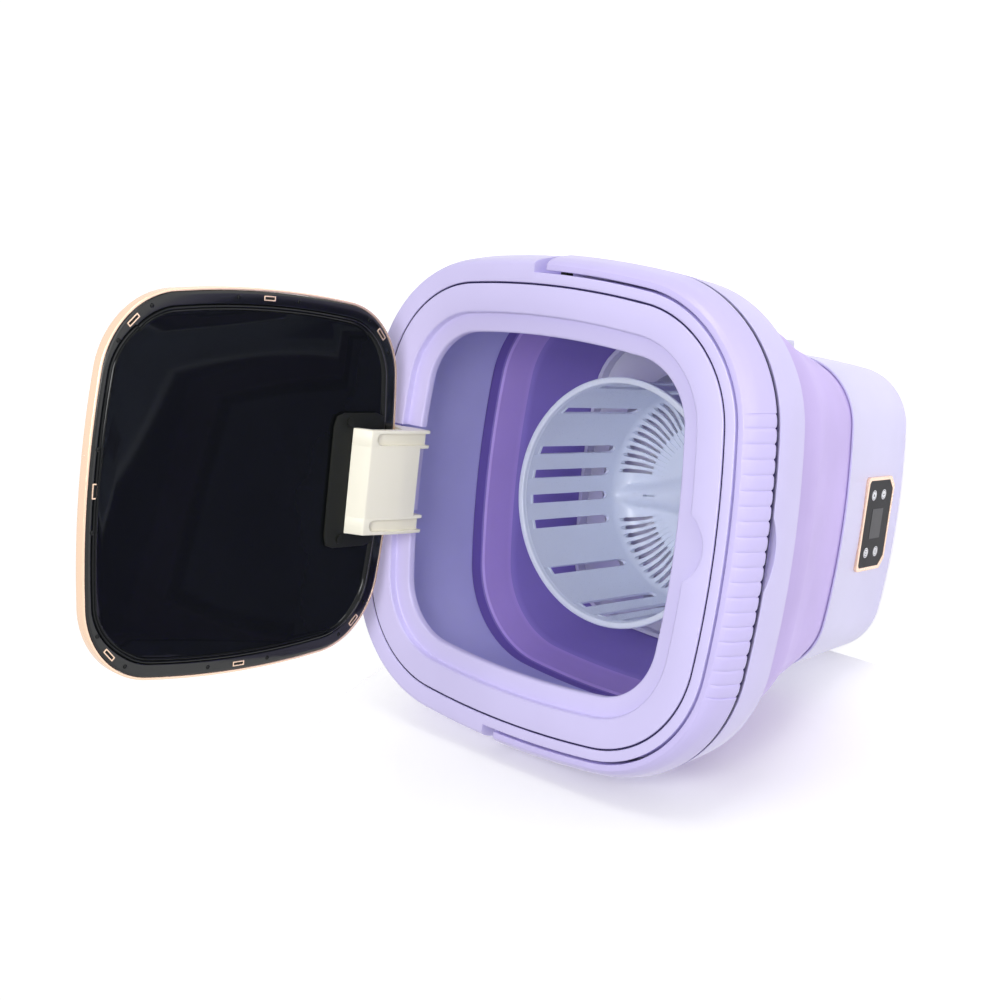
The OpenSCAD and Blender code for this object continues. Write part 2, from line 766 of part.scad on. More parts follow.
skin_half = ring_half - 1;
flange_h = 16.4;
flange_w = 2;
flange_low = rim_z - flange_h;
skin_top = flange_low - soft_gap;
fold_line = base_top + fold_rise;
fold_band = 11;
band_drop = 24;
band_step = 9;
waist_half = base_half - 1;
low_bead = 6;
clamp_t = 3;
clamp_w = 3.5;

function skin_levels(inset, lip) = [
    [waist_half - inset, base_top + lip],
    [skin_half - band_step - inset - 1, fold_line - fold_band - band_drop + lip / 2],
    [skin_half - inset - 1, fold_line - fold_band + lip / 2],
    [skin_half - inset + (lip == 0 ? -1 : 1), fold_line - fold_band / 2],
    [skin_half - inset, fold_line],
    [skin_half - inset, skin_top + lip]
];

module bellows()
    color(soft) difference() {
        union() {
            loft(skin_levels(0, 0));
            slab(ring_half + flange_w, skin_top - skin_t, skin_top);
        }
        loft(skin_levels(skin_t, 0.01));
        slab(waist_half - skin_t, base_top - over, base_top + 0.1);
        slab(skin_half - skin_t, skin_top - over, skin_top + over);
    }

module lower_clamp_ring()
    color(pale) ring(waist_half - skin_t - soft_gap, waist_half - skin_t - clamp_w,
                     base_top - 1 + soft_gap, base_top + low_bead);

module upper_clamp_ring()
    color(pale) translate([0, 0, skin_top - skin_t - soft_gap - clamp_t])
        ring(ring_half + flange_w + 2, skin_half + soft_gap, 0, clamp_t);

// ---------- rim frame ----------

shelf_drop = 14;
shelf_z = rim_z - shelf_drop;
shelf_w = 3;
edge_r = 3;          // height of the softened upper edge of the frame and the handle
seat_z = rim_z - seat_depth;
handle_half = seat_half + handle_gap + handle_low_w;
lower_half = skirt_half + 1;
pivot_drop = 13.5;
pivot_z = rim_z - pivot_drop;
scoop_r = 54;
scoop_depth = 6.5;
scoop_in = 7;
scoop_w = 60;        // half width of the block that the scoop's wall is cut from
boss_inset = 7;
boss_at = corner_c + (corner_inset - boss_inset) * sqrt(0.5);
tab_r = 5;
tab_screw_len = 8;
seat_end = pivot_back + handle_end + end_gap;
pivot_boss_t = 1;    // how far the pivot's boss stands out of the seat's wall, both sides together
pivot_pin_in = seat_half - wall - 1;
pivot_pin_out = seat_half + handle_gap + 6.5;

// everything in front of the plane y = reach
module front_half(reach) translate([-far, -far, 0]) cube([2 * far, far + reach, far]);

// a pair of cylinders on the handle's pivot axis, from x = x0 to x = x1 and their mirror images
module at_pivots(r, x0, x1)
    for (x = [-1, 1]) translate([x * (x0 + x1) / 2, pivot_back, pivot_z]) rotate([0, 90, 0])
        cylinder(r = r, h = x1 - x0, center = true);

module scoop_cylinder(r, y0, y1)
    translate([0, y0, seat_z - scoop_depth + scoop_r]) rotate([-90, 0, 0]) cylinder(r = r, h = y1 - y0);

module rim_frame()
    color(lavender) difference() {
        union() {
            // skirt and deck, full height
            difference() {
                loft([[lower_half, skirt_low], [lower_half, seat_z], [deck_half + 0.8, rim_z - edge_r],
                      [deck_half - 1, rim_z]]);
                loft([[lower_half - wall, skirt_low - over], [lower_half - wall, seat_z - wall],
                      [deck_half - wall, rim_z - wall]]);
            }
            // inner flange with the shelf that the ring stands on
            ring(ring_half + wall, ring_half, flange_low, rim_z);
            ring(ring_half + wall, ring_half - shelf_w, flange_low, shelf_z);
            four_corners(boss_at) translate([0, 0, flange_low])
                cylinder(r = tab_r, h = shelf_z - flange_low);
            // walls round the handle's seat
            intersection() {
                union() {
                    ring(seat_half, seat_half - wall, seat_z - wall, rim_z);
                    ring(lower_half - wall / 2, seat_half - wall, seat_z - wall, seat_z);
                }
                front_half(seat_end + wall);
            }
            // end walls of the seat
            intersection() {
                slab(deck_half - wall / 2, seat_z - wall, rim_z - wall / 2);
                for (x = [-1, 1]) translate([x * deck_half - deck_w, seat_end, 0])
                    cube([2 * deck_w, wall, far]);
                difference() {
                    slab(deck_half, 0, far);
                    slab(seat_half - wall, 0, far);
                }
            }
            at_pivots(pivot_r + 3, seat_half - wall - pivot_boss_t / 2, seat_half + pivot_boss_t / 2);
            // wall of the finger scoop
            intersection() {
                scoop_cylinder(scoop_r + wall, -lower_half, -lower_half + scoop_in + wall);
                translate([-scoop_w, -lower_half + wall / 2, seat_z - scoop_depth - wall])
                    cube([2 * scoop_w, far, scoop_depth + wall]);
            }
        }
        // the seat itself
        intersection() {
            difference() {
                slab(lower_half + wall, seat_z, rim_z + over);
                slab(seat_half, seat_z - over, rim_z + 2 * over);
            }
            front_half(seat_end);
        }
        slab(ring_half, shelf_z, rim_z + over);
        at_pivots(pivot_r + running, pivot_pin_in - running, seat_half + pivot_boss_t);
        scoop_cylinder(scoop_r, -lower_half - over, -lower_half + scoop_in);
        four_corners(boss_at) translate([0, 0, flange_low - over])
            cylinder(r = screw_hole_r, h = tab_screw_len);
    }

// ---------- top ring ----------

notch_y = -(ledge_half + notch_reach - notch_r);
pin_y = ledge_half - lid_gap + pin_back;
pin_z = rim_z + pin_up;
arm_x = bracket_w / 2 - arm_w;
arm_room = 1;

module arm_slots(y0, y1, z0, z1)
    for (x = [-1, 1])
        translate([x * (arm_x + arm_w / 2) - arm_w / 2 - arm_room, y0, z0])
            cube([arm_w + 2 * arm_room, y1 - y0, z1 - z0]);

module top_ring()
    color(lavender) difference() {
        union() {
            ring(ring_half_out, ledge_half, rim_z - wall, rim_z);
            ring(ledge_half + wall, ledge_half, ledge_z - wall, rim_z);
            ring(ledge_half + 1, open_half, ledge_z - wall, ledge_z);
            ring(open_half + wall, open_half, ledge_z - lip_h, ledge_z);
            ring(ring_half_out, ring_half_out - wall, shelf_z, rim_z);
            translate([0, notch_y, ledge_z - wall]) cylinder(r = notch_r + wall, h = recess_depth + wall);
            four_corners(boss_at) translate([0, 0, shelf_z])
                cylinder(r = tab_r - 1, h = rim_z - shelf_z - wall / 2);
        }
        slab(ledge_half, ledge_z, rim_z + over);
        slab(open_half, 0, far);
        translate([0, notch_y, ledge_z]) cylinder(r = notch_r, h = far);
        arm_slots(0, pin_y + arm_back + arm_room, 0, far);
        four_corners(boss_at) translate([0, 0, shelf_z - over]) cylinder(r = screw_hole_r, h = tab_screw_len);
        at_mount_screws() cylinder(r = screw_hole_r, h = far, center = true);
    }

module ring_screws()
    color(steel) {
        four_corners(boss_at) translate([0, 0, flange_low]) mirror([0, 0, 1]) screw(tab_screw_len);
        at_mount_screws() screw(mount_t + wall);
    }

// fixed half of the hinge: a plate on the ring's border that carries the pin's bore
mount_half = arm_x - arm_room;
mount_t = 2.4;
mount_y0 = pin_y + 2;
mount_len = 12;

module at_mount_screws()
    for (x = [-1, 1]) translate([x * (mount_half - 7), mount_y0 + mount_len / 2 + 0.5, rim_z + mount_t])
        children();

// along X, centred; the children are drawn looking from +X, with Y to the right and Z up
module along_x(width) translate([-width / 2, 0, 0]) rotate([90, 0, 90]) linear_extrude(width) children();

module hinge_mount()
    color(lavender) difference() {
        union() {
            translate([-mount_half, mount_y0, rim_z]) cube([2 * mount_half, mount_len, mount_t]);
            along_x(2 * mount_half) translate([pin_y, pin_z]) circle(r = knuckle_r);
            along_x(2 * mount_half)
                polygon([[pin_y - 1, pin_z - knuckle_r + 0.6], [mount_y0, rim_z],
                         [mount_y0 + 5, rim_z + mount_t], [mount_y0 + 1, pin_z + 2]]);
        }
        along_x(far) translate([pin_y, pin_z]) circle(r = pin_r + running);
        at_mount_screws() cylinder(r = screw_hole_r, h = far, center = true);
        at_mount_screws() cylinder(r = screw_head_r + head_room, h = far);
    }

// ---------- handle ----------

handle_in = seat_half + handle_gap;
handle_low = seat_z + 0.8;

module handle()
    color(lavender) difference() {
        loft([[handle_in + handle_low_w - 1, handle_low], [handle_in + handle_low_w, handle_low + 1.5],
              [handle_in + handle_top_w + 1.5, rim_z - edge_r], [handle_in + handle_top_w, rim_z - 1],
              [handle_in + handle_top_w - 1.5, rim_z]]);
        slab(handle_in, 0, far);
        translate([-far, pivot_back + handle_end, 0]) cube([2 * far, far, far]);
        // the cut ends are rounded below the pivot, so that they swing clear of the seat
        difference() {
            translate([-far, pivot_back, 0]) cube([2 * far, far, pivot_z]);
            translate([0, pivot_back, pivot_z]) rotate([0, 90, 0])
                cylinder(r = pivot_z - handle_low, h = 2 * far, center = true);
        }
        at_pivots(pivot_r + running, 0, pivot_pin_out + running);
    }

module handle_pins()
    color(steel) at_pivots(pivot_r, pivot_pin_in, pivot_pin_out);

// ---------- lid, modelled closed and turned open about the hinge pin ----------

lid_half = ledge_half - lid_gap;
lid_in = ledge_z + seal_t + soft_gap;
lid_top = lid_in + lid_t;
cover_split = lid_in + lid_t / 2;
rib_half = open_half - 7;
pad_half = bracket_w / 2 + 10;
pad_t = 1.5;
pad_r = 8;
pad_y0 = pin_y - bracket_reach - 20;
pad_y1 = open_half - 2.5;
pad_screw_len = 4;

module opened()
    translate([0, pin_y, pin_z]) rotate([-lid_open, 0, 0]) translate([0, -pin_y, -pin_z]) children();

module pad_outline(grow)
    polygon([[-pad_half - grow, pad_y1 + grow], [-pad_half - grow, pad_y0 + pad_r],
             [-pad_half + pad_r, pad_y0 - grow], [pad_half - pad_r, pad_y0 - grow],
             [pad_half + grow, pad_y0 + pad_r], [pad_half + grow, pad_y1 + grow]]);

module at_pad_screws()
    for (x = [-1, 1]) translate([x * (pad_half - 6), pin_y - bracket_reach - 6, lid_in - pad_t])
        mirror([0, 0, 1]) children();

module lid_cover()
    color(gloss_black) opened() loft([[lid_half - trim_w, cover_split], [lid_half - trim_w, lid_top - 1.2],
                                      [lid_half - trim_w - 1.5, lid_top]]);

module lid_liner()
    color(gloss_black) opened() union() {
        difference() {
            slab(lid_half - trim_w, lid_in, cover_split);
            at_pad_screws() cylinder(r = screw_hole_r, h = 2 * pad_screw_len, center = true);
        }
        difference() {
            ring(rib_half, rib_half - wall, lid_in - rib_h, lid_in + wall / 2);
            linear_extrude(lid_in) pad_outline(1);
        }
    }

module lid_trim()
    color(rose_gold) opened() ring(lid_half, lid_half - trim_w, lid_in, lid_top - 0.8);

module lid_seal()
    color([0.12, 0.12, 0.13]) opened() difference() {
        ring(ledge_half - 4, open_half + 1.5, lid_in - seal_t, lid_in);
        arm_slots(0, far, 0, far);
    }

module hinge_pad()
    color([0.16, 0.16, 0.16]) opened() difference() {
        translate([0, 0, lid_in - pad_t]) linear_extrude(pad_t) pad_outline(0);
        at_pad_screws() cylinder(r = screw_hole_r, h = 2 * pad_screw_len, center = true);
    }

arm_back = 8.5;      // how far the arms reach behind the pin, closed
bracket_skin = 2.6;
channel_w = arm_w - 4.4;
eye_r = 5;
pad_low = lid_in - pad_t - pin_z;
bracket_low = lid_in - bracket_depth - pin_z;

// side view of the bracket, closed, measured from the pin: an arched cover below the lid
function bracket_side(inset) = [
    [-bracket_reach + inset, pad_low + (inset > 0 ? 1 : 0)],
    [-bracket_reach + 3 + inset, bracket_low + 5 + inset],
    [-bracket_reach + 12, bracket_low + 2 + inset],
    [-bracket_reach + 26, bracket_low + inset],
    [-4, bracket_low + inset],
    [2, bracket_low + 1.5 + inset],
    [2, pad_low - 13.5 + (inset > 0 ? 1 : 0)],
    [-bracket_reach + 27, pad_low + (inset > 0 ? 1 : 0)]
];

// a profile measured from the pin, drawn along X
module at_pin(width) along_x(width) translate([pin_y, pin_z]) children();

module at_arms() for (x = [-1, 1]) translate([x * (arm_x + arm_w / 2), 0, 0]) children();

module hinge_bracket()
    color(cream) opened() difference() {
        union() {
            difference() {
                at_pin(bracket_w) polygon(bracket_side(0));
                at_pin(bracket_w - 2 * bracket_skin) polygon(bracket_side(bracket_skin));
            }
            at_arms() at_pin(arm_w) {
                circle(r = eye_r);
                polygon([[-eye_r, 0], [-eye_r, bracket_low + 8], [-8, bracket_low],
                         [arm_back - 2, bracket_low + 1], [arm_back, bracket_low + 4],
                         [arm_back, bracket_low + 12], [eye_r, -3], [eye_r, 0]]);
            }
        }
        at_pin(far) circle(r = pin_r + running);
        // shallow channels along the two arms
        at_arms() at_pin(channel_w)
            polygon([[-bracket_reach + 14, bracket_low - 1], [arm_back + over, bracket_low - 1],
                     [arm_back + over, bracket_low + 2.2], [-bracket_reach + 14, bracket_low + 1.2]]);
    }

module hinge_pin()
    color(steel) opened() at_pin(bracket_w) circle(r = pin_r);

module hinge_screws()
    color(steel) opened() at_pad_screws() screw(pad_screw_len);

base_shell();
bottom_cover();
feet();
cover_screws();
lower_tub();
shaft_bearings();
shaft_seal();
gearbox_housing();
gearbox_screws();
motor();
motor_pinion();
output_gear();
output_shaft();
pulsator();
pulsator_nut();
spin_basket();
control_board();
board_spacers();
panel_frame();
panel_glass();
panel_display();
touch_keys();
power_inlet();
drain_spout();
drain_cap();
wiring_harness();
lower_clamp_ring();
bellows();
upper_clamp_ring();
rim_frame();
top_ring();
ring_screws();
hinge_mount();
handle();
handle_pins();
lid_cover();
lid_liner();
lid_trim();
lid_seal();
hinge_pad();
hinge_bracket();
hinge_pin();
hinge_screws();
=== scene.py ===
"""Folding top load washer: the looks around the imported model.

Lengths are in millimetres, and in metres for the stage, the lights and the camera.
"""
import json
import math

import bmesh
import bpy
from mathutils import Matrix, Vector


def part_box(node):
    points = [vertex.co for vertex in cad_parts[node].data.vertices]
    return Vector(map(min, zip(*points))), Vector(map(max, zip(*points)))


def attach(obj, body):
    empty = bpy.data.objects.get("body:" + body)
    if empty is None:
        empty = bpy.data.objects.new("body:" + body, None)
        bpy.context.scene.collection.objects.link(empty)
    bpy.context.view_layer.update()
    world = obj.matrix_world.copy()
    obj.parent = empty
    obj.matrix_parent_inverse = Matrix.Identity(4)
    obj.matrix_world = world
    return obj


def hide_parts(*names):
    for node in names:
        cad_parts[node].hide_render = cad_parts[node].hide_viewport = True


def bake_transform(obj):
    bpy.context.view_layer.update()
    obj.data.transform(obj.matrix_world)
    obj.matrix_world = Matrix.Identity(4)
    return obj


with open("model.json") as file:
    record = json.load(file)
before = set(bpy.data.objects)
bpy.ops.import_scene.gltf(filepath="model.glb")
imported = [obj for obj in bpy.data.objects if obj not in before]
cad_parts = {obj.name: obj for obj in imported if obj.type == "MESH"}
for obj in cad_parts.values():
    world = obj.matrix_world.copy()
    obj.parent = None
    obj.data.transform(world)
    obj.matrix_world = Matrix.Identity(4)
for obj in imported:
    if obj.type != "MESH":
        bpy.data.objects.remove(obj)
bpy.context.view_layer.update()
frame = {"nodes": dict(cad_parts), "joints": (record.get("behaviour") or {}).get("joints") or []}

MM = 0.001  # a millimetre in Blender's metres


# ---------- sizes, from the frame ----------

def low(node):
    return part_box(node)[0] / MM


def high(node):
    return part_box(node)[1] / MM


def centre_of(node):
    return (low(node) + high(node)) / 2


RING_GAP = 0.4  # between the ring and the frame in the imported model
RING_SEAM = 1.2  # the seam as it is seen
WALL = 2.5  # thickness of the rigid moulded walls
rim_z = high("top_ring").z
ring_half = high("top_ring").x + RING_GAP
skirt_half = high("rim_frame").x
skirt_low = low("rim_frame").z
handle_half = high("handle").x
handle_low = low("handle").z
handle_end = high("handle").y
base_low = low("base_shell").z
base_top = high("base_shell").z
base_half = high("base_shell").x
hinge = Vector(next(j for j in frame["joints"] if j["name"] == "lid_hinge")["pos_m"]) / MM

# plan outline shared by base, wall, rim and lid: a square with bulged sides and round corners
SIDE_RADIUS = 648
CORNER_INSET = 77
side_centre = SIDE_RADIUS - ring_half
corner_c = (math.sqrt(2 * (SIDE_RADIUS - CORNER_INSET) ** 2 - side_centre ** 2) - side_centre) / 2
corner_angle = math.degrees(math.atan2(corner_c, corner_c + side_centre))


def cos(angle):
    return math.cos(math.radians(angle))


def sin(angle):
    return math.sin(math.radians(angle))


def plan_point(turn, half):
    """Point of the outline with this half width whose outward normal points at the angle turn."""
    side = round(turn / 90)
    d = turn - 90 * side
    if abs(d) <= corner_angle:
        x, y = SIDE_RADIUS * cos(d) - side_centre, SIDE_RADIUS * sin(d)
    else:
        x = corner_c + CORNER_INSET * cos(d)
        y = math.copysign(corner_c, d) + CORNER_INSET * sin(d)
    x, y = x + (half - ring_half) * cos(d), y + (half - ring_half) * sin(d)
    return x * cos(90 * side) - y * sin(90 * side), x * sin(90 * side) + y * cos(90 * side)


def turns(start, stop, step, fine=None, fine_zone=(0, 0)):
    """Normal angles from start to stop, about step mm apart on the ring, or fine mm in the zone."""
    out = [start]
    while out[-1] < stop:
        turn = out[-1]
        on_side = abs((turn + 45) % 90 - 45) < corner_angle
        radius = SIDE_RADIUS if on_side else CORNER_INSET
        gap = fine if fine and fine_zone[0] < turn < fine_zone[1] else step
        out.append(turn + math.degrees(gap / radius))
    out[-1] = stop
    return out


def all_round(step, fine=None, fine_zone=(0, 0)):
    return turns(-45, 315, step, fine, fine_zone)[:-1]


FRONT = 270  # normal angle at the middle of the front side


def along_front(turn, half):
    """Distance along the front outline from its middle, positive towards +X."""
    d = turn - FRONT
    straight = (half + side_centre) * math.radians(corner_angle)
    if abs(d) <= corner_angle:
        return (half + side_centre) * math.radians(d)
    past = (half - ring_half + CORNER_INSET) * math.radians(abs(d) - corner_angle)
    return math.copysign(straight + past, d)


def turn_at(y, half):
    """How far the normal turns from the side's middle to the point at this y."""
    return math.degrees(math.asin(y / (half + side_centre)))


# ---------- mesh tools ----------

def rounded(corners, steps=3):
    """Outline through corners (u, v, radius), each corner softened with a short curve."""
    out = []
    for i, (u, v, r) in enumerate(corners):
        p = Vector((u, v))
        if r <= 0:
            out.append(p)
            continue
        back = Vector(corners[i - 1][:2]) - p
        ahead = Vector(corners[(i + 1) % len(corners)][:2]) - p
        if back.length < 1e-6 or ahead.length < 1e-6:
            out += [p] * (steps + 1)
            continue
        a = p + back.normalized() * min(r, back.length * 0.48)
        b = p + ahead.normalized() * min(r, ahead.length * 0.48)
        for k in range(steps + 1):
            t = k / steps
            out.append(a * (1 - t) ** 2 + p * (2 * t * (1 - t)) + b * t ** 2)
    return [(p.x, p.y) for p in out]


def divided(points, step):
    """The line through the points, with further points about step apart."""
    out = []
    for a, b in zip(points, points[1:]):
        n = max(1, round(math.hypot(b[0] - a[0], b[1] - a[1]) / step))
        out += [(a[0] + (b[0] - a[0]) * k / n, a[1] + (b[1] - a[1]) * k / n) for k in range(n)]
    return out + points[-1:]


def circle(r, steps=40):
    return [(r * cos(360 * k / steps), r * sin(360 * k / steps)) for k in range(steps)]


def rectangle(w, h, r):
    return rounded([(-w / 2, -h / 2, r), (w / 2, -h / 2, r), (w / 2, h / 2, r), (-w / 2, h / 2, r)], 2)


def foot_round(x, z, radius):
    """Quarter circle from a flat bottom at z up to a wall at x."""
    return [(x - radius * (1 - sin(t)), z + radius * (1 - cos(t))) for t in range(0, 91, 10)]


def mesh_from(name, bm):
    mesh = bpy.data.meshes.new(name)
    bm.to_mesh(mesh)
    bm.free()
    return mesh


def linked(name, data):
    """Object in the scene with this mesh, lamp or camera."""
    obj = bpy.data.objects.new(name, data)
    bpy.context.scene.collection.objects.link(obj)
    return obj


def plain_object(name, bm):
    """Object from a bmesh in mm."""
    bmesh.ops.recalc_face_normals(bm, faces=bm.faces)
    mesh = mesh_from(name, bm)
    mesh.transform(Matrix.Scale(MM, 4))
    return linked(name, mesh)


def smooth_shade(mesh, crisp=35):
    """Smooth shading, in which edges sharper than the crisp angle stay crisp."""
    mesh.polygons.foreach_set("use_smooth", [True] * len(mesh.polygons))
    mesh.set_sharp_from_angle(angle=math.radians(crisp))


def new_object(name, bm, material, crisp=35):
    obj = plain_object(name, bm)
    smooth_shade(obj.data, crisp)
    obj.data.materials.append(material)
    return obj


def grid_faces(bm, rows, close_rows, close_columns):
    """Quads between rows of vertices."""
    n, m = len(rows), len(rows[0])
    for i in range(n if close_rows else n - 1):
        for j in range(m if close_columns else m - 1):
            a, b = rows[i], rows[(i + 1) % n]
            bm.faces.new((a[j], a[(j + 1) % m], b[(j + 1) % m], b[j]))


def loft(rows, ring=False):
    """Solid through rows of points: a closed ring, or capped at its first and last row."""
    bm = bmesh.new()
    rows = [[bm.verts.new(point) for point in row] for row in rows]
    grid_faces(bm, rows, ring, True)
    if not ring:
        bm.faces.new(rows[0])
        bm.faces.new(rows[-1])
    return bm


def sweep(angles, section, closed):
    """Solid round the plan: the section is (half width, z) points, or a function of the angle."""
    rows = []
    for turn in angles:
        outline = section(turn) if callable(section) else section
        rows.append([(*plan_point(turn, half), z) for half, z in outline])
    return loft(rows, closed)


def lathe(profile, centre=(0, 0), steps=128, closed=True):
    """Profile of (r, z) turned about a vertical axis."""
    bm = bmesh.new()
    rows = [[bm.verts.new((centre[0] + r * cos(a), centre[1] + r * sin(a), z)) for r, z in profile]
            for a in (360 * k / steps for k in range(steps))]
    grid_faces(bm, rows, True, closed)
    bmesh.ops.remove_doubles(bm, verts=bm.verts, dist=0.001)
    return bm


def plate(outline, z0, z1, edge=0.0, hole=None):
    """Flat plate between z0 and z1 with a softened upper and lower edge and, if wanted, a hole."""
    bm = bmesh.new()
    levels = [(z0, 0), (z1, 0)]
    if edge:
        levels = [(z0, edge), (z0 + edge * 0.3, edge * 0.3), (z0 + edge, 0),
                  (z1 - edge, 0), (z1 - edge * 0.3, edge * 0.3), (z1, edge)]

    def rows(points, sign):
        n = len(points)
        middle = sum((Vector(p) for p in points), Vector((0, 0))) / n
        out = []
        for z, inset in levels:
            row = []
            for i, p in enumerate(points):
                a, b = Vector(points[i - 1]), Vector(points[(i + 1) % n])
                t = (b - a).normalized()
                normal = Vector((t.y, -t.x))
                if normal.dot(Vector(p) - middle) < 0:
                    normal = -normal
                row.append(bm.verts.new((*(Vector(p) - normal * inset * sign), z)))
            out.append(row)
        return out

    outer = rows(outline, 1)
    grid_faces(bm, outer, False, True)
    if hole:
        inner = rows(hole, -1)
        grid_faces(bm, inner, False, True)
        for k in (0, -1):
            grid_faces(bm, (outer[k], inner[k]), False, True)
    else:
        bm.faces.new(outer[0])
        bm.faces.new(outer[-1])
    return bm


def prism_x(outline, x0, x1, edge=0.4):
    """Bar along X whose (y, z) outline is softened at both ends."""
    upright_to_x = Matrix(((0, 0, 1, 0), (1, 0, 0, 0), (0, 1, 0, 0), (0, 0, 0, 1)))
    return moved(plate(outline, x0, x1, edge), upright_to_x)


def cut(obj, *solids):
    """Subtracts closed bmeshes in mm from obj."""
    tools = []
    for bm in solids:
        tool = plain_object("tool", bm)
        modifier = obj.modifiers.new("cut", "BOOLEAN")
        modifier.operation = "DIFFERENCE"
        modifier.solver = "EXACT"
        modifier.object = tool
        tools.append(tool)
    depsgraph = bpy.context.evaluated_depsgraph_get()
    mesh = bpy.data.meshes.new_from_object(obj.evaluated_get(depsgraph))
    obj.modifiers.clear()
    obj.data = mesh
    for tool in tools:
        bpy.data.objects.remove(tool)
    smooth_shade(mesh)


def join_bm(target, other):
    """Adds the other bmesh's geometry to target."""
    mesh = mesh_from("part", other)
    target.from_mesh(mesh)
    bpy.data.meshes.remove(mesh)
    return target


def box_bm(x0, x1, y0, y1, z0, z1):
    bm = bmesh.new()
    bmesh.ops.create_cube(bm, size=1)
    bmesh.ops.scale(bm, vec=(x1 - x0, y1 - y0, z1 - z0), verts=bm.verts)
    bmesh.ops.translate(bm, vec=((x0 + x1) / 2, (y0 + y1) / 2, (z0 + z1) / 2), verts=bm.verts)
    return bm


def moved(bm, matrix):
    bmesh.ops.transform(bm, matrix=matrix, verts=bm.verts)
    return bm


def rotation(angle, axis):
    return Matrix.Rotation(math.radians(angle), 4, axis)


# ---------- materials ----------

def linear(srgb):
    return tuple(((c / 255 + 0.055) / 1.055) ** 2.4 if c > 10 else c / 255 / 12.92 for c in srgb) + (1,)


def set_input(tree, socket, value):
    """Links the socket to an output, or gives it a number or colour."""
    if isinstance(value, bpy.types.NodeSocket):
        tree.links.new(value, socket)
    else:
        socket.default_value = value


def set_inputs(tree, made, **values):
    """Sets a node's inputs, given by name."""
    for name, value in values.items():
        set_input(tree, made.inputs[name.replace("_", " ")], value)
    return made


def node(tree, kind, **values):
    return set_inputs(tree, tree.nodes.new(kind), **values)


def ramp(tree, source, low_colour, high_colour, start=0.3, end=0.7):
    """Colour that goes from the low to the high one while the source goes from start to end."""
    made = node(tree, "ShaderNodeValToRGB", Fac=source)
    elements = made.color_ramp.elements
    elements[0].position, elements[1].position = start, end
    elements[0].color, elements[1].color = low_colour, high_colour
    return made.outputs["Color"]


def finish(name, colour, shade=0.94, roughness=(0.34, 0.42), grain=900, relief=0.02, mottle=14,
           metallic=0.0, specular=0.5, wave=None):
    """Moulded or metal surface: faint tone and gloss variation, and a fine grain in the relief."""
    made = bpy.data.materials.new(name)
    made.use_nodes = True
    tree = made.node_tree
    place = node(tree, "ShaderNodeTexCoord").outputs["Object"]
    soft = node(tree, "ShaderNodeTexNoise", Vector=place, Scale=mottle, Detail=3.0, Roughness=0.5)
    fine = node(tree, "ShaderNodeTexNoise", Vector=place, Scale=grain, Detail=2.0, Roughness=0.6)
    height = fine.outputs["Fac"]
    gloss = node(tree, "ShaderNodeMapRange", Value=height, To_Min=roughness[0], To_Max=roughness[1])
    if wave:
        shade_bands = node(tree, "ShaderNodeTexWave", Vector=place, Scale=wave, Distortion=0.4, Detail=2.0)
        height = shade_bands.outputs["Fac"]
    bump = node(tree, "ShaderNodeBump", Strength=relief, Distance=0.0004, Height=height)
    base = linear(colour)
    deep = tuple(c * shade for c in base[:3]) + (1,)
    set_inputs(tree, tree.nodes["Principled BSDF"], Metallic=metallic, Specular_IOR_Level=specular,
               Base_Color=ramp(tree, soft.outputs["Fac"], deep, base), Roughness=gloss.outputs["Result"],
               Normal=bump.outputs["Normal"])
    return made


def board_finish():
    """Green circuit board with lighter tracks under the solder mask."""
    made = finish("circuit_board", (24, 92, 56), roughness=(0.3, 0.45))
    tree = made.node_tree
    place = tree.nodes["Texture Coordinate"].outputs["Object"]
    tracks = node(tree, "ShaderNodeTexBrick", Vector=place, Scale=120.0, Mortar_Size=0.08).outputs["Fac"]
    colour = ramp(tree, tracks, linear((20, 84, 50)), linear((78, 140, 84)), 0.4, 0.6)
    set_inputs(tree, tree.nodes["Principled BSDF"], Base_Color=colour)
    return made


lavender = finish("lavender_plastic", (212, 204, 247))
# the frame's lavender made darker for the handle: painted shade
handle_lavender_shaded = finish("lavender_handle_shaded", (204, 194, 243), roughness=(0.28, 0.36))
pale = finish("pale_plastic", (221, 217, 249), roughness=(0.3, 0.38))
soft_skin = finish("soft_wall", (212, 193, 249), roughness=(0.5, 0.62), relief=0.05, shade=0.92,
                   specular=0.35)
# inner side of the soft wall in copies of its colour: lighter and bluer above the fold (painted light),
# then painted shade, darkest in the fold and darker again further down
inside_painted_light = finish("soft_wall_inside_painted_light", (197, 194, 248), roughness=(0.45, 0.58), relief=0.05, shade=0.9,
                     specular=0.4)
fold_painted_shade = finish("soft_wall_fold_painted_shade", (122, 102, 188), roughness=(0.5, 0.62), relief=0.05, shade=0.9)
band_painted_shade = finish("soft_wall_band_painted_shade", (182, 156, 232), roughness=(0.45, 0.58), relief=0.05, shade=0.9)
deep_painted_shade = finish("soft_wall_deep_painted_shade", (150, 132, 214), roughness=(0.45, 0.58), relief=0.05, shade=0.9)
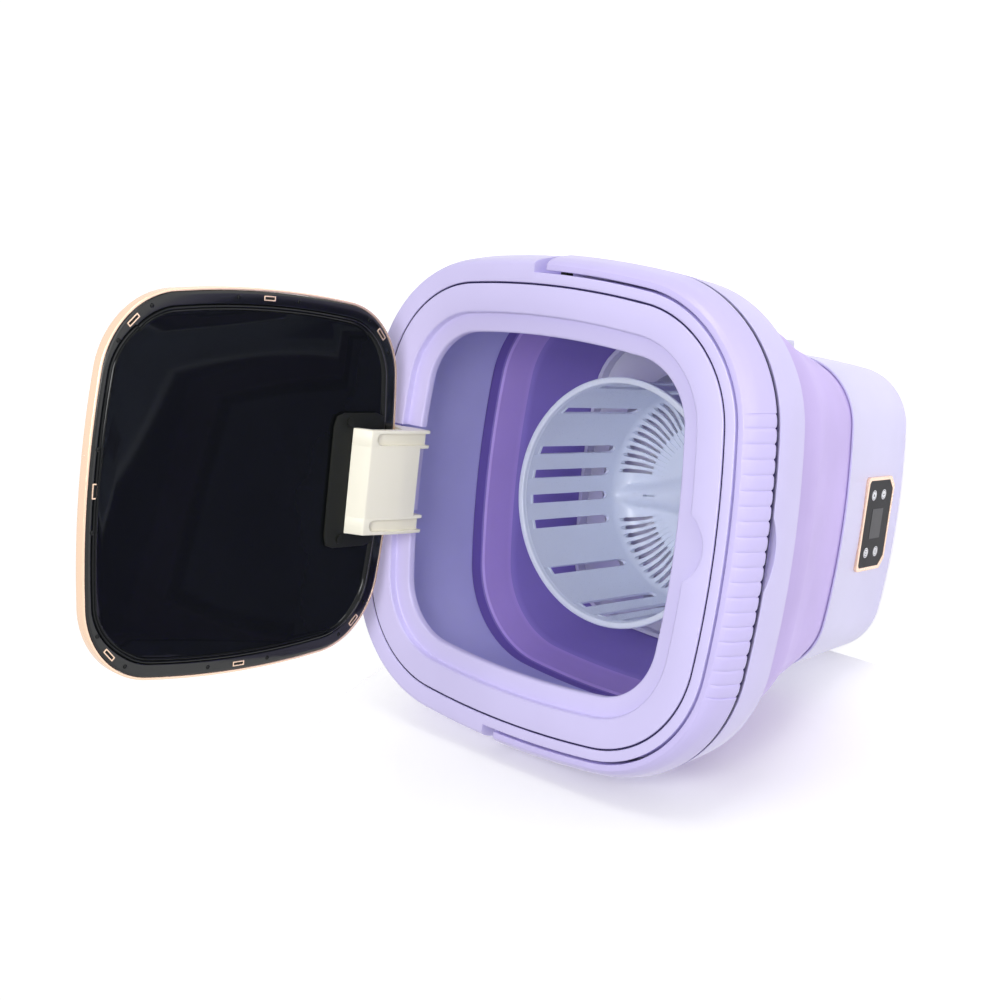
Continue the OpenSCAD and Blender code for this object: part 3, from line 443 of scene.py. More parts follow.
# grey plastic made much lighter so the shaded tub shows light: painted light
grey_painted_light = finish("grey_plastic", (230, 230, 246), roughness=(0.4, 0.5), relief=0.04)
dark = finish("dark_plastic", (52, 52, 58), roughness=(0.4, 0.55), relief=0.08)
rubber = finish("foot_rubber", (48, 48, 52), roughness=(0.7, 0.85), relief=0.15)
basket_white = finish("white_plastic", (230, 237, 254), roughness=(0.24, 0.34), shade=0.96)
steel = finish("steel", (188, 190, 194), metallic=1.0, roughness=(0.25, 0.4), relief=0.08, wave=300)
brass = finish("pinion_brass", (214, 178, 96), metallic=1.0, roughness=(0.22, 0.34), relief=0.05)
rose_gold = finish("rose_gold_trim", (255, 222, 194), metallic=0.7, roughness=(0.2, 0.3), relief=0.01)
gloss_black = finish("black_gloss", (19, 21, 23), roughness=(0.03, 0.06), relief=0.002, shade=0.8,
                     specular=0.22)
border_black = finish("black_border", (20, 22, 23), roughness=(0.1, 0.16), relief=0.01, shade=0.85)
panel_black = finish("panel_glass", (20, 21, 22), roughness=(0.1, 0.16), relief=0.003, shade=0.8,
                     specular=0.08)
display_dark = finish("display_window", (24, 26, 27), roughness=(0.12, 0.2), relief=0.005, shade=0.6,
                      mottle=60, specular=0.3)
pad_black = finish("pad_rubber", (21, 23, 19), roughness=(0.5, 0.62), relief=0.12, grain=1600,
                   specular=0.25)
seal_black = finish("black_rubber", (26, 27, 30), roughness=(0.45, 0.6), relief=0.1)
cream = finish("cream_plastic", (244, 240, 223), roughness=(0.32, 0.42), shade=0.96)
key_white = finish("key_print", (246, 247, 250), roughness=(0.35, 0.45), shade=0.97)
# dark violet for strips put in gaps: painted shade
painted_shade_dark = finish("seam_painted_shade", (40, 32, 78), roughness=(0.5, 0.6), relief=0.06, specular=0.2)
lead_red = finish("lead_jacket", (150, 30, 32), roughness=(0.35, 0.5), relief=0.05)
board_green = board_finish()


# ---------- rim: frame, ring, handle ----------

END_PLAY = 9.2  # from the handle's ends to the ends of its seat
LIP_W, GUTTER = 0.8, 0.8  # lip at the skirt's top and depth of the gutter behind it
FLANGE_W, FLANGE_T = 3, 2.4  # the flange that carries the ring
SCOOP_R, SCOOP_DEPTH, SCOOP_IN = 42, 6.5, 9
SCOOP_MIDDLE = 2  # the finger scoop lies this far to the right of the front's middle
NOTCH_R, NOTCH_REACH = 24, 11
seat_half = ring_half + 7  # the handle lies round this part of the frame
seat_z = handle_low - 2.8
seat_end = handle_end + END_PLAY
skirt_top = handle_half - 0.5
deck_outer = skirt_half - 4
shelf_z = rim_z - 14


def scoop_dip(turn):
    """How far the finger scoop lowers the seat's outer edge at this station."""
    x = along_front(turn, skirt_top) - SCOOP_MIDDLE
    inside = SCOOP_R ** 2 - x ** 2
    return max(0.0, math.sqrt(inside) - (SCOOP_R - SCOOP_DEPTH)) if inside > 0 else 0.0


def inner_flange():
    """Corners of the frame's inner side, from its top border down to the ring's shelf and back up."""
    under = shelf_z - FLANGE_T
    return [(ring_half, rim_z, 0.8), (ring_half, shelf_z, 0.3), (ring_half - FLANGE_W, shelf_z, 0.5),
            (ring_half - FLANGE_W, under, 0.5), (ring_half + WALL, under, 0.3),
            (ring_half + WALL, rim_z - WALL, 0.3)]


def front_section(turn):
    dip = scoop_dip(turn)
    deep = seat_z - dip - GUTTER
    ledge = skirt_top - SCOOP_IN
    return rounded(
        inner_flange() + [
            (seat_half - WALL, rim_z - WALL, 0.3), (seat_half - WALL, seat_z - WALL, 0.3),
            (ledge - WALL, seat_z - WALL, 0.1), (ledge - WALL, deep - WALL, 0.1),
            (skirt_top - WALL, deep - WALL, 0.5), (skirt_half - WALL, skirt_low, 0.3),
            (skirt_half, skirt_low, 1.0), (skirt_top, seat_z - dip, 0.3),
            (skirt_top - LIP_W, seat_z - dip, 0.3), (skirt_top - LIP_W, deep, 0.1),
            (ledge, deep, 0.1), (ledge, seat_z, 0.1),
            (seat_half, seat_z, 0.6), (seat_half, rim_z, 0.8)])


def back_section(turn, hollow_corner):
    """Section behind the handle's seat, hollow up to a corner, with a flatter belly at the rear."""
    belly = skirt_top - (skirt_top - high("rim_frame").y) * max(0.0, sin(turn)) ** 4
    return rounded(
        inner_flange() + [
            (*hollow_corner, 0.3), (skirt_half - WALL, seat_z - WALL, 0.8),
            (skirt_half - WALL, skirt_low, 0.3), (skirt_half, skirt_low, 1.0),
            (belly, seat_z, 6), (deck_outer + 2.4, rim_z - 4, 4), (deck_outer, rim_z, 1.6)])


def make_frame():
    """Front part, with the handle's seat, and back part, whose end walls are as thick as its skin."""
    end = turn_at(seat_end, seat_half)
    front_angles = turns(180 - end, 360 + end, 3, 1.0, (FRONT - 8, FRONT + 8))
    front = new_object("frame_front", sweep(front_angles, front_section, False), lavender)
    solid = turn_at(WALL, seat_half)
    step = solid * 0.02
    inside = [a for a in turns(end, 180 - end, 3) if end + 2 * solid < a < 180 - end - 2 * solid]
    near = [end, end + solid, end + solid + step]
    angles = near + inside + [180 - a for a in reversed(near)]

    def section(turn):
        hollow_corner = deck_outer - WALL, rim_z - WALL
        if min(turn - end, 180 - end - turn) < solid + step / 2:
            hollow_corner = ring_half + WALL + 0.5, seat_z - WALL
        return back_section(turn, hollow_corner)
    back = new_object("frame_back", sweep(angles, section, False), lavender)
    for obj in (front, back):
        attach(obj, "rim")
    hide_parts("rim_frame")


ledge_half = ring_half - 20.2  # the lid lies on a ledge round the mouth
open_half = ledge_half - 12.8
ledge_z = rim_z - 6
lip_z = ledge_z - 6


def notch_half(turn, half):
    """Half width of the lid recess, pushed outwards by the round finger notch at the front."""
    x = along_front(turn, half)
    if abs(x) >= NOTCH_R:
        return half
    middle = half + NOTCH_REACH - NOTCH_R
    bulge = x * x / (2 * (half + side_centre))
    return max(half, middle + math.sqrt(NOTCH_R ** 2 - x * x) + bulge)


def ring_section(turn):
    edge = notch_half(turn, ledge_half)
    out = ring_half - RING_SEAM
    return rounded([
        (out, shelf_z, 0.3), (out, rim_z, 0.9), (edge, rim_z, 1.4), (edge, ledge_z, 1.2),
        (open_half, ledge_z, 1.6), (open_half, lip_z, 0.8), (open_half + WALL, lip_z, 0.6),
        (open_half + WALL, ledge_z - WALL, 0.5), (edge + WALL, ledge_z - WALL, 0.8),
        (edge + WALL, rim_z - WALL, 0.5), (out - WALL, rim_z - WALL, 0.5), (out - WALL, shelf_z, 0.3)])


ARM_SWING = 10.5  # the slots for the bracket's arms reach this far behind the pin
INSIDE_MOUTH = 60  # the slots' cutters start in the open mouth
# a dark strip in the seam between the ring and the frame paints the shade in the gap
SEAM_SHADE_PLAY = 0.08  # between the dark strip and its neighbours
SEAM_SHADE_LOW, SEAM_SHADE_HIGH = 7, 0.9  # its lower and upper edge, below the rim's top


def make_ring():
    angles = all_round(3, 0.8, (FRONT - 4, FRONT + 4))
    ring = new_object("ring", sweep(angles, ring_section, True), lavender)
    half, back = ARM_W / 2 + ARM_PLAY, hinge.y + ARM_SWING
    cut(ring, *(box_bm(x - half, x + half, INSIDE_MOUTH, back, lip_z - 5, rim_z + 5)
                for x in (-arm_x, arm_x)))
    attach(ring, "rim")
    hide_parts("top_ring")
    outside, inside = ring_half - SEAM_SHADE_PLAY, ring_half - RING_SEAM + SEAM_SHADE_PLAY
    bottom, top = rim_z - SEAM_SHADE_LOW, rim_z - SEAM_SHADE_HIGH
    strip = [(outside, bottom), (outside, top), (inside, top), (inside, bottom)]
    seam_shade = new_object("seam_painted_shade", sweep(all_round(4), strip, True), painted_shade_dark)
    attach(seam_shade, "rim")


RIB_PITCH = 9.15
RIB_FROM, RIB_TO = -87.0, 86.85  # where the ribbed grip starts and ends, along the front
RIB_DEPTH = 0.9
BAND_W = 3.8  # smooth band on the handle's inner side
HANDLE_SEAM = 1.7  # between the frame and the handle
END_ROUND = 1.6  # radius of the handle's ends
END_STEPS = 0.001, 0.02, 0.05, 0.1, 0.18  # turns from an end to the sections that round it
# dark strip under the handle's lower edge: painted shade in the gap between the handle and the skirt
SHADE_STRIP_OUT, SHADE_STRIP_IN = 1.2, 4.5  # the strip's edges, from the handle's outer face
SHADE_STRIP_UP, SHADE_STRIP_DOWN = 0.6, 1.3  # how far it reaches into the handle and below it
SHADE_STRIP_SHORT = 0.3  # turn from the handle's ends to the strip's


def rib_height(turn):
    """0 at the grooves between the grip's ribs, 1 at each rib's crown and beyond the grip."""
    s = along_front(turn, handle_half)
    if not RIB_FROM < s < RIB_TO:
        return 1.0
    u = abs(2 * ((s - RIB_FROM) / RIB_PITCH % 1) - 1)
    return 1 - 0.35 * u ** 2 - 0.65 * u ** 8


def handle_section(turn):
    """Smooth inner band, then the ribbed grip; groove bottoms lie RIB_DEPTH below the crowns."""
    dip = RIB_DEPTH * (1 - rib_height(turn))
    inner = seat_half + HANDLE_SEAM
    return rounded([
        (inner, handle_low, 0.6), (inner, rim_z, 0.8), (inner + BAND_W, rim_z - 0.1, 0.3),
        (inner + BAND_W + 0.5, rim_z - 0.5 - 0.5 * dip, 0.3),
        (inner + 6.4 - 0.6 * dip, rim_z - 2.6 - 0.8 * dip, 1.2),
        (handle_half - 2.6 - dip, rim_z - 8 - 0.4 * dip, 3.0),
        (handle_half - dip, handle_low + 3 + 0.4 * dip, 1.2),
        (handle_half - 1.2 - dip, handle_low + 1.2 * dip, 0.6)], steps=4)


def make_handle():
    first, last = 180 - turn_at(handle_end, handle_half), 360 + turn_at(handle_end, handle_half)
    inside = turns(first, last, 3, 0.45, (FRONT - 21, FRONT + 21))[1:-1]
    angles = sorted([first + d for d in END_STEPS] + inside + [last - d for d in END_STEPS])

    def section(turn):
        near = math.radians(min(turn - first, last - turn)) * (handle_half + side_centre)
        pull = END_ROUND - math.sqrt(max(0.0, END_ROUND ** 2 - max(0.0, END_ROUND - near) ** 2))
        points = handle_section(turn)
        middle = sum((Vector(p) for p in points), Vector((0, 0))) / len(points)
        return [tuple(Vector(p) + (middle - Vector(p)).normalized() * pull * 0.9) for p in points]
    handle = new_object("handle_bail", sweep(angles, section, False), handle_lavender_shaded, crisp=28)
    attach(handle, "bail")
    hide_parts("handle")
    outside, inside = handle_half - SHADE_STRIP_OUT, handle_half - SHADE_STRIP_IN
    top, bottom = handle_low + SHADE_STRIP_UP, handle_low - SHADE_STRIP_DOWN
    strip = rounded([
        (outside, top, 0.1), (outside, bottom, 0.3), (inside, bottom, 0.3), (inside, top, 0.1)])
    angles = turns(first + SHADE_STRIP_SHORT, last - SHADE_STRIP_SHORT, 2)
    shade_strip = new_object("handle_painted_shade_strip", sweep(angles, strip, False), painted_shade_dark)
    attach(shade_strip, "bail")


# ---------- folding wall ----------

def make_wall():
    """Soft wall: straight band below the rim, one fold, then a taper down to the base."""
    foot = base_half - 2.2
    foot_z = base_top - 3.8
    fold_z = base_top + 100
    skin = ring_half - 1
    top = skirt_low + 45

    def side(lower, near_fold, upper):
        """One side of the section; near the fold, points are (inset from the skin, height over it)."""
        return divided(lower + [(skin - inset, fold_z + rise) for inset, rise in near_fold] + [upper], 4)
    outer = side(
        [(foot, foot_z), (foot, base_top + 1), (foot + 3.4, base_top + 12)],
        [(13.6, -45), (10.0, -34), (6.0, -23), (2.3, -13), (0.9, -4), (0.3, 6), (0, 18)], (skin, top))
    inner = side(
        [(foot - 1.8, foot_z), (foot - 1.8, base_top + 1), (foot + 1.2, base_top + 12)],
        [(13.5, -36), (12.3, -34.6), (5.2, -12.4), (3.6, -11.2), (2.6, -10.4), (2.0, -1.4), (3.0, 0)],
        (skin - 2.6, top))
    section = outer + inner[::-1]
    wall_obj = new_object("soft_wall", sweep(all_round(4), section, True), soft_skin, crisp=30)
    for material in (inside_painted_light, fold_painted_shade, band_painted_shade, deep_painted_shade):
        wall_obj.data.materials.append(material)
    # the inner side from its top, in bands of painted light and shade: each band's lower end, and the
    # number of its material
    shade_bands = ((fold_z - 1, 1), (fold_z - 11.5, 2), (fold_z - 35, 3), (0, 4))
    for polygon in wall_obj.data.polygons:
        if all(v % len(section) >= len(outer) for v in polygon.vertices):
            polygon.material_index = next(index for z, index in shade_bands if polygon.center.z > z * MM)
    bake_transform(wall_obj)
    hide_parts("bellows")


# ---------- base ----------

EDGE_R = 8
BASE_LIP_T, BASE_LIP_DEEP = 1.7, 4  # thinner edge at the casing's top
PANEL_CHAMFER, PANEL_R = 7, 1.5
PANEL_PLAY, PANEL_SUNK = 0.2, 1.0
SPOUT_HOLE_R, JACK_HOLE_R = 14, 7.8
BORE_END = 140  # the holes' cutters end here, outside the base
foot_half = base_half - 6.4
panel_tilt = math.degrees(math.atan2(base_half - foot_half, base_top - base_low))
panel = high("panel_frame") - low("panel_frame")
keys_span = high("touch_keys") - low("touch_keys")


def base_half_at(z):
    return foot_half + (base_half - foot_half) * (z - base_low) / (base_top - base_low)


def panel_matrix():
    """Place of the control panel: X along it, Y up it, Z out of the wall."""
    z = centre_of("panel_frame").z
    return Matrix.Translation((0, -base_half_at(z), z)) @ rotation(90 + panel_tilt, "X")


def panel_outline(grow):
    """Outline of the panel: chamfered lower corners, small rounds everywhere."""
    w, h = panel.x / 2 + grow, panel.z / cos(panel_tilt) / 2 + grow
    c, r = PANEL_CHAMFER, PANEL_R
    return rounded([(-w + c, -h, r), (w - c, -h, r), (w, -h + c, r), (w, h, r + 1), (-w, h, r + 1),
                    (-w, -h + c, r)])


def bore(radius, start, middle, turn, axis):
    """Cutter for a round hole in the base, along the vertical axis turned about the axis named."""
    bm = lathe([(0, start), (radius, start), (radius, BORE_END), (0, BORE_END)], steps=64)
    return moved(bm, Matrix.Translation(middle) @ rotation(turn, axis))


def make_base():
    lower = base_half_at(base_low + EDGE_R)
    lip = base_half - BASE_LIP_T
    top = rounded([(base_half, base_top, 0.6), (lip, base_top, 0.4), (lip, base_top - BASE_LIP_DEEP, 0.1),
                   (base_half - WALL, base_top - BASE_LIP_DEEP, 0.1)])
    cover = foot_half - EDGE_R - 0.6
    inner = [(lower - WALL, base_low + EDGE_R), (lower - WALL - 5, base_low + 4), (cover, base_low + 3),
             (cover, base_low)]
    section = foot_round(lower, base_low, EDGE_R) + top + inner
    base = new_object("base_casing", sweep(all_round(4), section, True), pale)
    seat = moved(plate(panel_outline(PANEL_PLAY), -PANEL_SUNK, 20), panel_matrix())
    spout, inlet = centre_of("drain_cap"), centre_of("power_inlet")
    cup = bore(SPOUT_HOLE_R, 95, (0, spout.y, spout.z), 90, "Y")
    jack = bore(JACK_HOLE_R, 90, (0, 0, inlet.z), -90, "X")
    cut(base, seat, cup, jack)
    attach(base, "base")
    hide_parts("base_shell")


KEY_R = 3.7
KEY_T, KEY_EDGE = 0.14, 0.02
KEY_LIFT = 0.7  # of the prints above the base's wall
SIGN, STROKE = 1.5, 0.3  # half the length and half the width of a sign's strokes
key_half = keys_span.x / 2 - KEY_R
key_row = keys_span.z / 2 / cos(panel_tilt) - KEY_R


def key_mark(kind):
    """Round key print: a ring and a disc, which has one plain sign cut out of it."""
    ring = plate(circle(KEY_R), 0, KEY_T, KEY_EDGE, circle(KEY_R - 0.6))
    signs = {
        "bars": [box_bm(-SIGN, SIGN, y - STROKE, y + STROKE, -1, 1) for y in (-1.0, 0, 1.0)],
        "cross": [box_bm(-SIGN, SIGN, -STROKE, STROKE, -1, 1),
                  box_bm(-STROKE, STROKE, -SIGN, SIGN, -1, 1)],
        "ring": [plate(circle(SIGN), -1, 1, 0, circle(SIGN - 2 * STROKE))],
        "arrow": [plate([(-0.9, -1.3), (SIGN, 0), (-0.9, 1.3)], -1, 1)],
    }
    disc = new_object("key_disc", plate(circle(KEY_R - 1.1), 0, KEY_T, KEY_EDGE), key_white)
    for sign in signs[kind]:
        cut(disc, sign)
    bm = bmesh.new()
    bm.from_mesh(disc.data)
    bpy.data.objects.remove(disc)
    return join_bm(moved(bm, Matrix.Scale(1 / MM, 4)), ring)


def make_panel():
    """Key prints on the glass."""
    raised = (centre_of("touch_keys").z - centre_of("panel_frame").z) / cos(panel_tilt)
    place = panel_matrix()
    marks = bmesh.new()
    for kind, x, y in (("ring", -1, 1), ("bars", -1, -1), ("arrow", 1, 1), ("cross", 1, -1)):
        spot = Matrix.Translation((x * key_half, y * key_row + raised, KEY_LIFT))
        join_bm(marks, moved(key_mark(kind), place @ spot))
    keys = new_object("key_marks", marks, key_white)
    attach(keys, "base")
    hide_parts("touch_keys")


# ---------- lid ----------

LID_OPEN = 89  # degrees from closed to the pictured pose
TRIM_W = 1.8
BORDER = 8.4  # width of the border on the lid's inner face
FRONT_GAIN = 4.6  # how much narrower the border is at the front's middle
GAIN_TURN = 62  # turn from there to where it has its full width
lid_half = ledge_half - 1.8
lid_in = ledge_z + 1.3  # inner face, lid closed
lid_top = lid_in + 8


def turn_open(mesh):
    """Turns a mesh modelled on the closed lid to the open one, about the hinge pin."""
    place = Matrix.Translation(hinge * MM)
    mesh.transform(place @ rotation(-LID_OPEN, "X") @ place.inverted())


def lid_piece(name, bm, material, slot, *nodes):
    """Piece modelled on the closed lid, turned open about the hinge pin."""
    obj = new_object(name, bm, material)
    turn_open(obj.data)
    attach(obj, "lid")
    if nodes:
        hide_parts(*nodes)
    return obj


def filled(half, levels):
    """Cushion-shaped slab of levels (inset, z), upwards; half may be a function of the angle."""
    rows = [[(*plan_point(turn, (half(turn) if callable(half) else half) - inset), z)
             for turn in all_round(3)] for inset, z in levels]
    return loft(rows)


def make_lid():
    split = lid_in + 4
    inner = lid_half - TRIM_W - 0.15

    def rib(turn):
        """Half width inside the border, which is narrower along the front, away from the hinge."""
        near = max(0.0, 1 - abs(turn - FRONT) / GAIN_TURN)
        return inner - BORDER + FRONT_GAIN * near * near * (3 - 2 * near)

    def border(turn):
        edge = rib(turn)
        return rounded([
            (inner, split - 0.1, 0.2), (inner, lid_in + 0.1, 0.6), (inner - 1.6, lid_in - 0.3, 0.4),
            (edge + 0.6, lid_in - 0.3, 0.4), (edge, lid_in + 0.3, 0.2), (edge, split - 0.1, 0.2)])
    top = filled(inner, [
        (0.3, split + 0.05), (0, split + 0.3), (0, lid_top - 1.4), (0.5, lid_top - 0.5), (1.6, lid_top),
        (8, lid_top)])
    lid_piece("lid_top", top, gloss_black, "black_gloss", "lid_cover")
    inside = filled(lambda turn: rib(turn) - 0.1, [
        (4.2, lid_in + 0.7), (3.7, lid_in + 0.4), (3.3, lid_in - 0.5), (2.7, lid_in - 0.9),
        (2.2, lid_in - 0.6), (1.9, lid_in - 0.2), (1.6, lid_in - 0.6), (1.1, lid_in - 0.9),
        (0.4, lid_in - 0.6), (0, lid_in + 0.2), (0, split - 0.05)])
    lid_piece("lid_inside", inside, gloss_black, "black_gloss", "lid_liner")
    lid_piece("lid_border", sweep(all_round(3), border, True), border_black, "black_rubber", "lid_seal")
    trim = rounded([(lid_half, lid_in + 0.2, 0.6), (lid_half, lid_top - 0.8, 0.7),
                    (lid_half - TRIM_W, lid_top - 0.8, 0.4), (lid_half - TRIM_W, lid_in + 0.2, 0.4)])
    lid_piece("lid_edge_trim", sweep(all_round(3), trim, True), rose_gold, "rose_gold_trim", "lid_trim")
    make_clips(inner - BORDER / 2 + 0.4)


CLIP_L, CLIP_W, CLIP_WALL = 9.2, 3.2, 0.8
SIDE_PIN, CORNER_PIN = 2.24, 17.6  # turn from a clip to its pins, on a side and at a corner


def make_clips(half):
    """Clips that show in the lid's border, each with a locating pin on either side of it."""
    frames, slots, pins = bmesh.new(), bmesh.new(), bmesh.new()
    face = lid_in - 0.3
    outer = rectangle(CLIP_L, CLIP_W, 0.5)
    hole = rectangle(CLIP_L - 2 * CLIP_WALL, CLIP_W - 2 * CLIP_WALL, 0.3)
    pin = [(0, face + 0.5), (1.4, face + 0.5), (1.4, face - 0.25), (1.0, face - 0.5),
           (0.6, face - 0.5), (0.5, face - 0.2), (0, face - 0.2)]
    for turn in (0, 45, 135, 180, 225, 270, 315):
        spot = Matrix.Translation((*plan_point(turn, half), 0)) @ rotation(turn + 90, "Z")
        join_bm(frames, moved(plate(outer, face - 0.45, face + 0.6, 0.15, hole), spot))
        join_bm(slots, moved(plate(hole, face - 0.1, face + 0.5, 0.05), spot))
        away = CORNER_PIN if turn % 90 else SIDE_PIN
        for place in (plan_point(turn - away, half), plan_point(turn + away, half)):
            join_bm(pins, lathe(pin, place, 20, False))
    lid_piece("lid_clips", frames, rose_gold, "rose_gold_trim")
    lid_piece("lid_clip_slots", slots, pad_black, "black_rubber")
    lid_piece("lid_pins", pins, gloss_black, "black_gloss")


# ---------- hinge pad and bracket ----------

PAD_R, PAD_T, PAD_SUNK = 9, 1.4, 0.3
pad_face = low("hinge_pad").y - hinge.y  # height from the pin, lid closed


def make_pad():
    """Sheet under the bracket, measured on the open lid and modelled on the closed one."""
    corner, other = low("hinge_pad"), high("hinge_pad")
    middle = hinge.y + hinge.z - (corner.z + other.z) / 2
    bottom = hinge.z + pad_face + PAD_SUNK
    outline = [(x, y + middle) for x, y in rectangle(2 * other.x, other.z - corner.z, PAD_R)]
    sheet = plate(outline, bottom, bottom + PAD_T, 0.5)
    lid_piece("hinge_pad_sheet", sheet, pad_black, "black_rubber", "hinge_pad")


ARM_W, CHANNEL_W, CHANNEL_DEEP = 12.6, 8.2, 3.4
ARM_PLAY = 0.9
COVER_T, COVER_BACK = 3.4, 0.8
CREASE = -13  # a faint crease runs across the cover here
RIDGE = 7  # length of the end face's slope, up to the soft ridge
EYE_R = 5
SUNK = 0.05  # the arms' faces lie this far inside the cover's
bracket_half = high("hinge_bracket").x
bracket_reach = high("hinge_bracket").z - hinge.z + 3
bracket_back = hinge.z - low("hinge_bracket").z + 1.2
bracket_deep = hinge.y - low("hinge_bracket").y
ridge_y = RIDGE - bracket_reach
ear_y = bracket_back - 3
arm_x = bracket_half - ARM_W / 2


def cover_z(y):
    """Height of the bracket's arched cover at y, both measured from the pin, lid closed."""
    span = bracket_back - ridge_y
    return -bracket_deep + 6.4 * ((bracket_back - y) / span) ** 1.35 + 0.07 * max(0.0, y - CREASE)


def from_pin(points):
    return [(y + hinge.y, z + hinge.z) for y, z in points]


def cover_line(start, stop, steps, inward=0.0):
    """Line along the cover from start to stop, at the cover's face or further in."""
    places = (start + (stop - start) * k / steps for k in range(steps + 1))
    return [(y, cover_z(y) + inward) for y in places]


def bracket_outer(inward=0.0):
    """Outer line of the bracket: a flat end face that meets the arched cover in a soft ridge."""
    line = cover_line(ridge_y + 1.6, COVER_BACK, 16, inward)
    return rounded([(-bracket_reach + inward, pad_face, 0.1), (ridge_y, cover_z(ridge_y) + inward, 1.2)]
                   + [(y, z, 0) for y, z in line])


def bracket_inner():
    """Inner line of the cover and its end face, from the cover's back edge to the pad."""
    return cover_line(COVER_BACK, ridge_y + COVER_T, 16, COVER_T) + [(-bracket_reach + COVER_T, pad_face)]


def bracket_cover():
    """Middle part of the cover, which runs a little way into the arms."""
    half = bracket_half - ARM_W + 1
    return prism_x(from_pin(bracket_outer() + bracket_inner()), -half, half, 0)


def bracket_arm(side):
    """Side arm: its slice of the cover, the eye round the pin and a rounded ear behind it."""
    eye = [(EYE_R * cos(a), EYE_R * sin(a)) for a in range(0, 181, 20)]
    back = bracket_outer(SUNK) + cover_line(COVER_BACK + 1, ear_y, 4, SUNK)
    ear = rounded([(ear_y, cover_z(ear_y), 0), (bracket_back, cover_z(bracket_back), 2.6),
                   (bracket_back, -bracket_deep + 12, 2), (EYE_R, -6, 3)], 5)
    under = [(-EYE_R, -12), (-11, -bracket_deep + 8)] + bracket_inner()[-2:]
    outline = from_pin(back[:-1] + ear[1:-1] + eye + under)
    return prism_x(outline, side * arm_x - ARM_W / 2, side * arm_x + ARM_W / 2, 0.7)


def arm_channel(side):
    """Cutter for the channel along an arm: round inner end, constant depth, open at the ear."""
    stop, beyond = bracket_back - 1.6, bracket_back + 5
    upper, lower = -bracket_deep + 13, -bracket_deep - 5
    rows = []
    for k in range(9):
        turn = 22.5 * k
        start = ridge_y + 4.5 + CHANNEL_W / 2 * (1 - sin(turn))
        floor = cover_line(start, stop - 0.2, 14, CHANNEL_DEEP)
        outside = [(stop, floor[-1][1] + 1), (stop, upper), (beyond, upper), (beyond, lower),
                   (start, lower)]
        x = side * arm_x - cos(turn) * CHANNEL_W / 2
        rows.append([(x, *point) for point in from_pin(floor + outside)])
    return loft(rows)


def make_bracket():
    """Cover and two arms, each arm with its channel."""
    pieces = [new_object("hinge_cover", bracket_cover(), cream)]
    for name, side in (("left", -1), ("right", 1)):
        pieces.append(new_object("hinge_arm_" + name, bracket_arm(side), cream))
        cut(pieces[-1], arm_channel(side))
    for piece in pieces:
        turn_open(piece.data)
        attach(piece, "lid")
        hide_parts("hinge_bracket")


# ---------- wash basket and tub ----------

basket_r = high("spin_basket").x
basket_wall_r = basket_r - 3
basket_low = low("spin_basket").z
basket_top = high("spin_basket").z
BASKET_TURN = 2.5
FAN_TURN = BASKET_TURN + 7
SLOT_PLACES = 28
SLOT_W, SLOT_LOW, SLOT_LEN = 6.4, 23, 88
SHELL_T = 2.2
CORNER_R = 16
FLOOR_R, SLOT_R, FAN_END = 46, 57, 81.5  # start of a fan's grooves, of its open slots, and their end
VANE_PITCH = 4.8
RIDGE_TURN = FAN_TURN + 90
RIDGE_HIGH, RIDGE_HALF = 8, 9.5
FLARE_R, FLARE = 58, 0.16  # inside this radius the ridge gets wider by this share


def slot_cutter(angle, r, width, z0, z1):
    """Radial cutter with an oval lower end."""
    half = width / 2
    outline = [(half, z1), (-half, z1)]
    deep = 1.8 * half
    outline += [(half * cos(a), z0 + deep + deep * sin(a)) for a in range(180, 361, 20)]
    return moved(prism_x(outline, r - 8, r + 8, 0), rotation(angle, "Z"))


def vane_cutter(angle, r0, r1, half0, half1, z):
    """Tapered radial cutter above height z for a fan's slot, which leans towards the ridge further in."""
    away = (angle - FAN_TURN + 90) % 180 - 90
    rows = []
    for k in range(9):
        share = 1 - (1 - k / 8) ** 1.6
        r = r0 + (r1 - r0) * share
        round_end = math.sqrt(max(0.1, 1 - max(0.0, (r - r1 + half1) / half1) ** 2))
        half = (half0 + (half1 - half0) * share) * round_end
        a = angle - away * 0.08 * (basket_wall_r - r) / (basket_wall_r - FLOOR_R)
        centre = Vector((r * cos(a), r * sin(a), basket_low))
        across = Vector((-sin(a), cos(a), 0)) * half
        rows.append([centre + across * side + Vector((0, 0, h))
                     for side, h in ((-1, z), (1, z), (1, 22), (-1, 22))])
    return loft(rows)


def ridge_height(x, y):
    """Bow-tie ridge across the floor between the fans, wide at the hub and narrow at the wall."""
    along = abs(x * cos(RIDGE_TURN) + y * sin(RIDGE_TURN))
    across = abs(-x * sin(RIDGE_TURN) + y * cos(RIDGE_TURN))
    half = RIDGE_HALF + max(0.0, FLARE_R - along) * FLARE
    return RIDGE_HIGH * max(0.0, 1 - (across / half) ** 2) ** 1.1


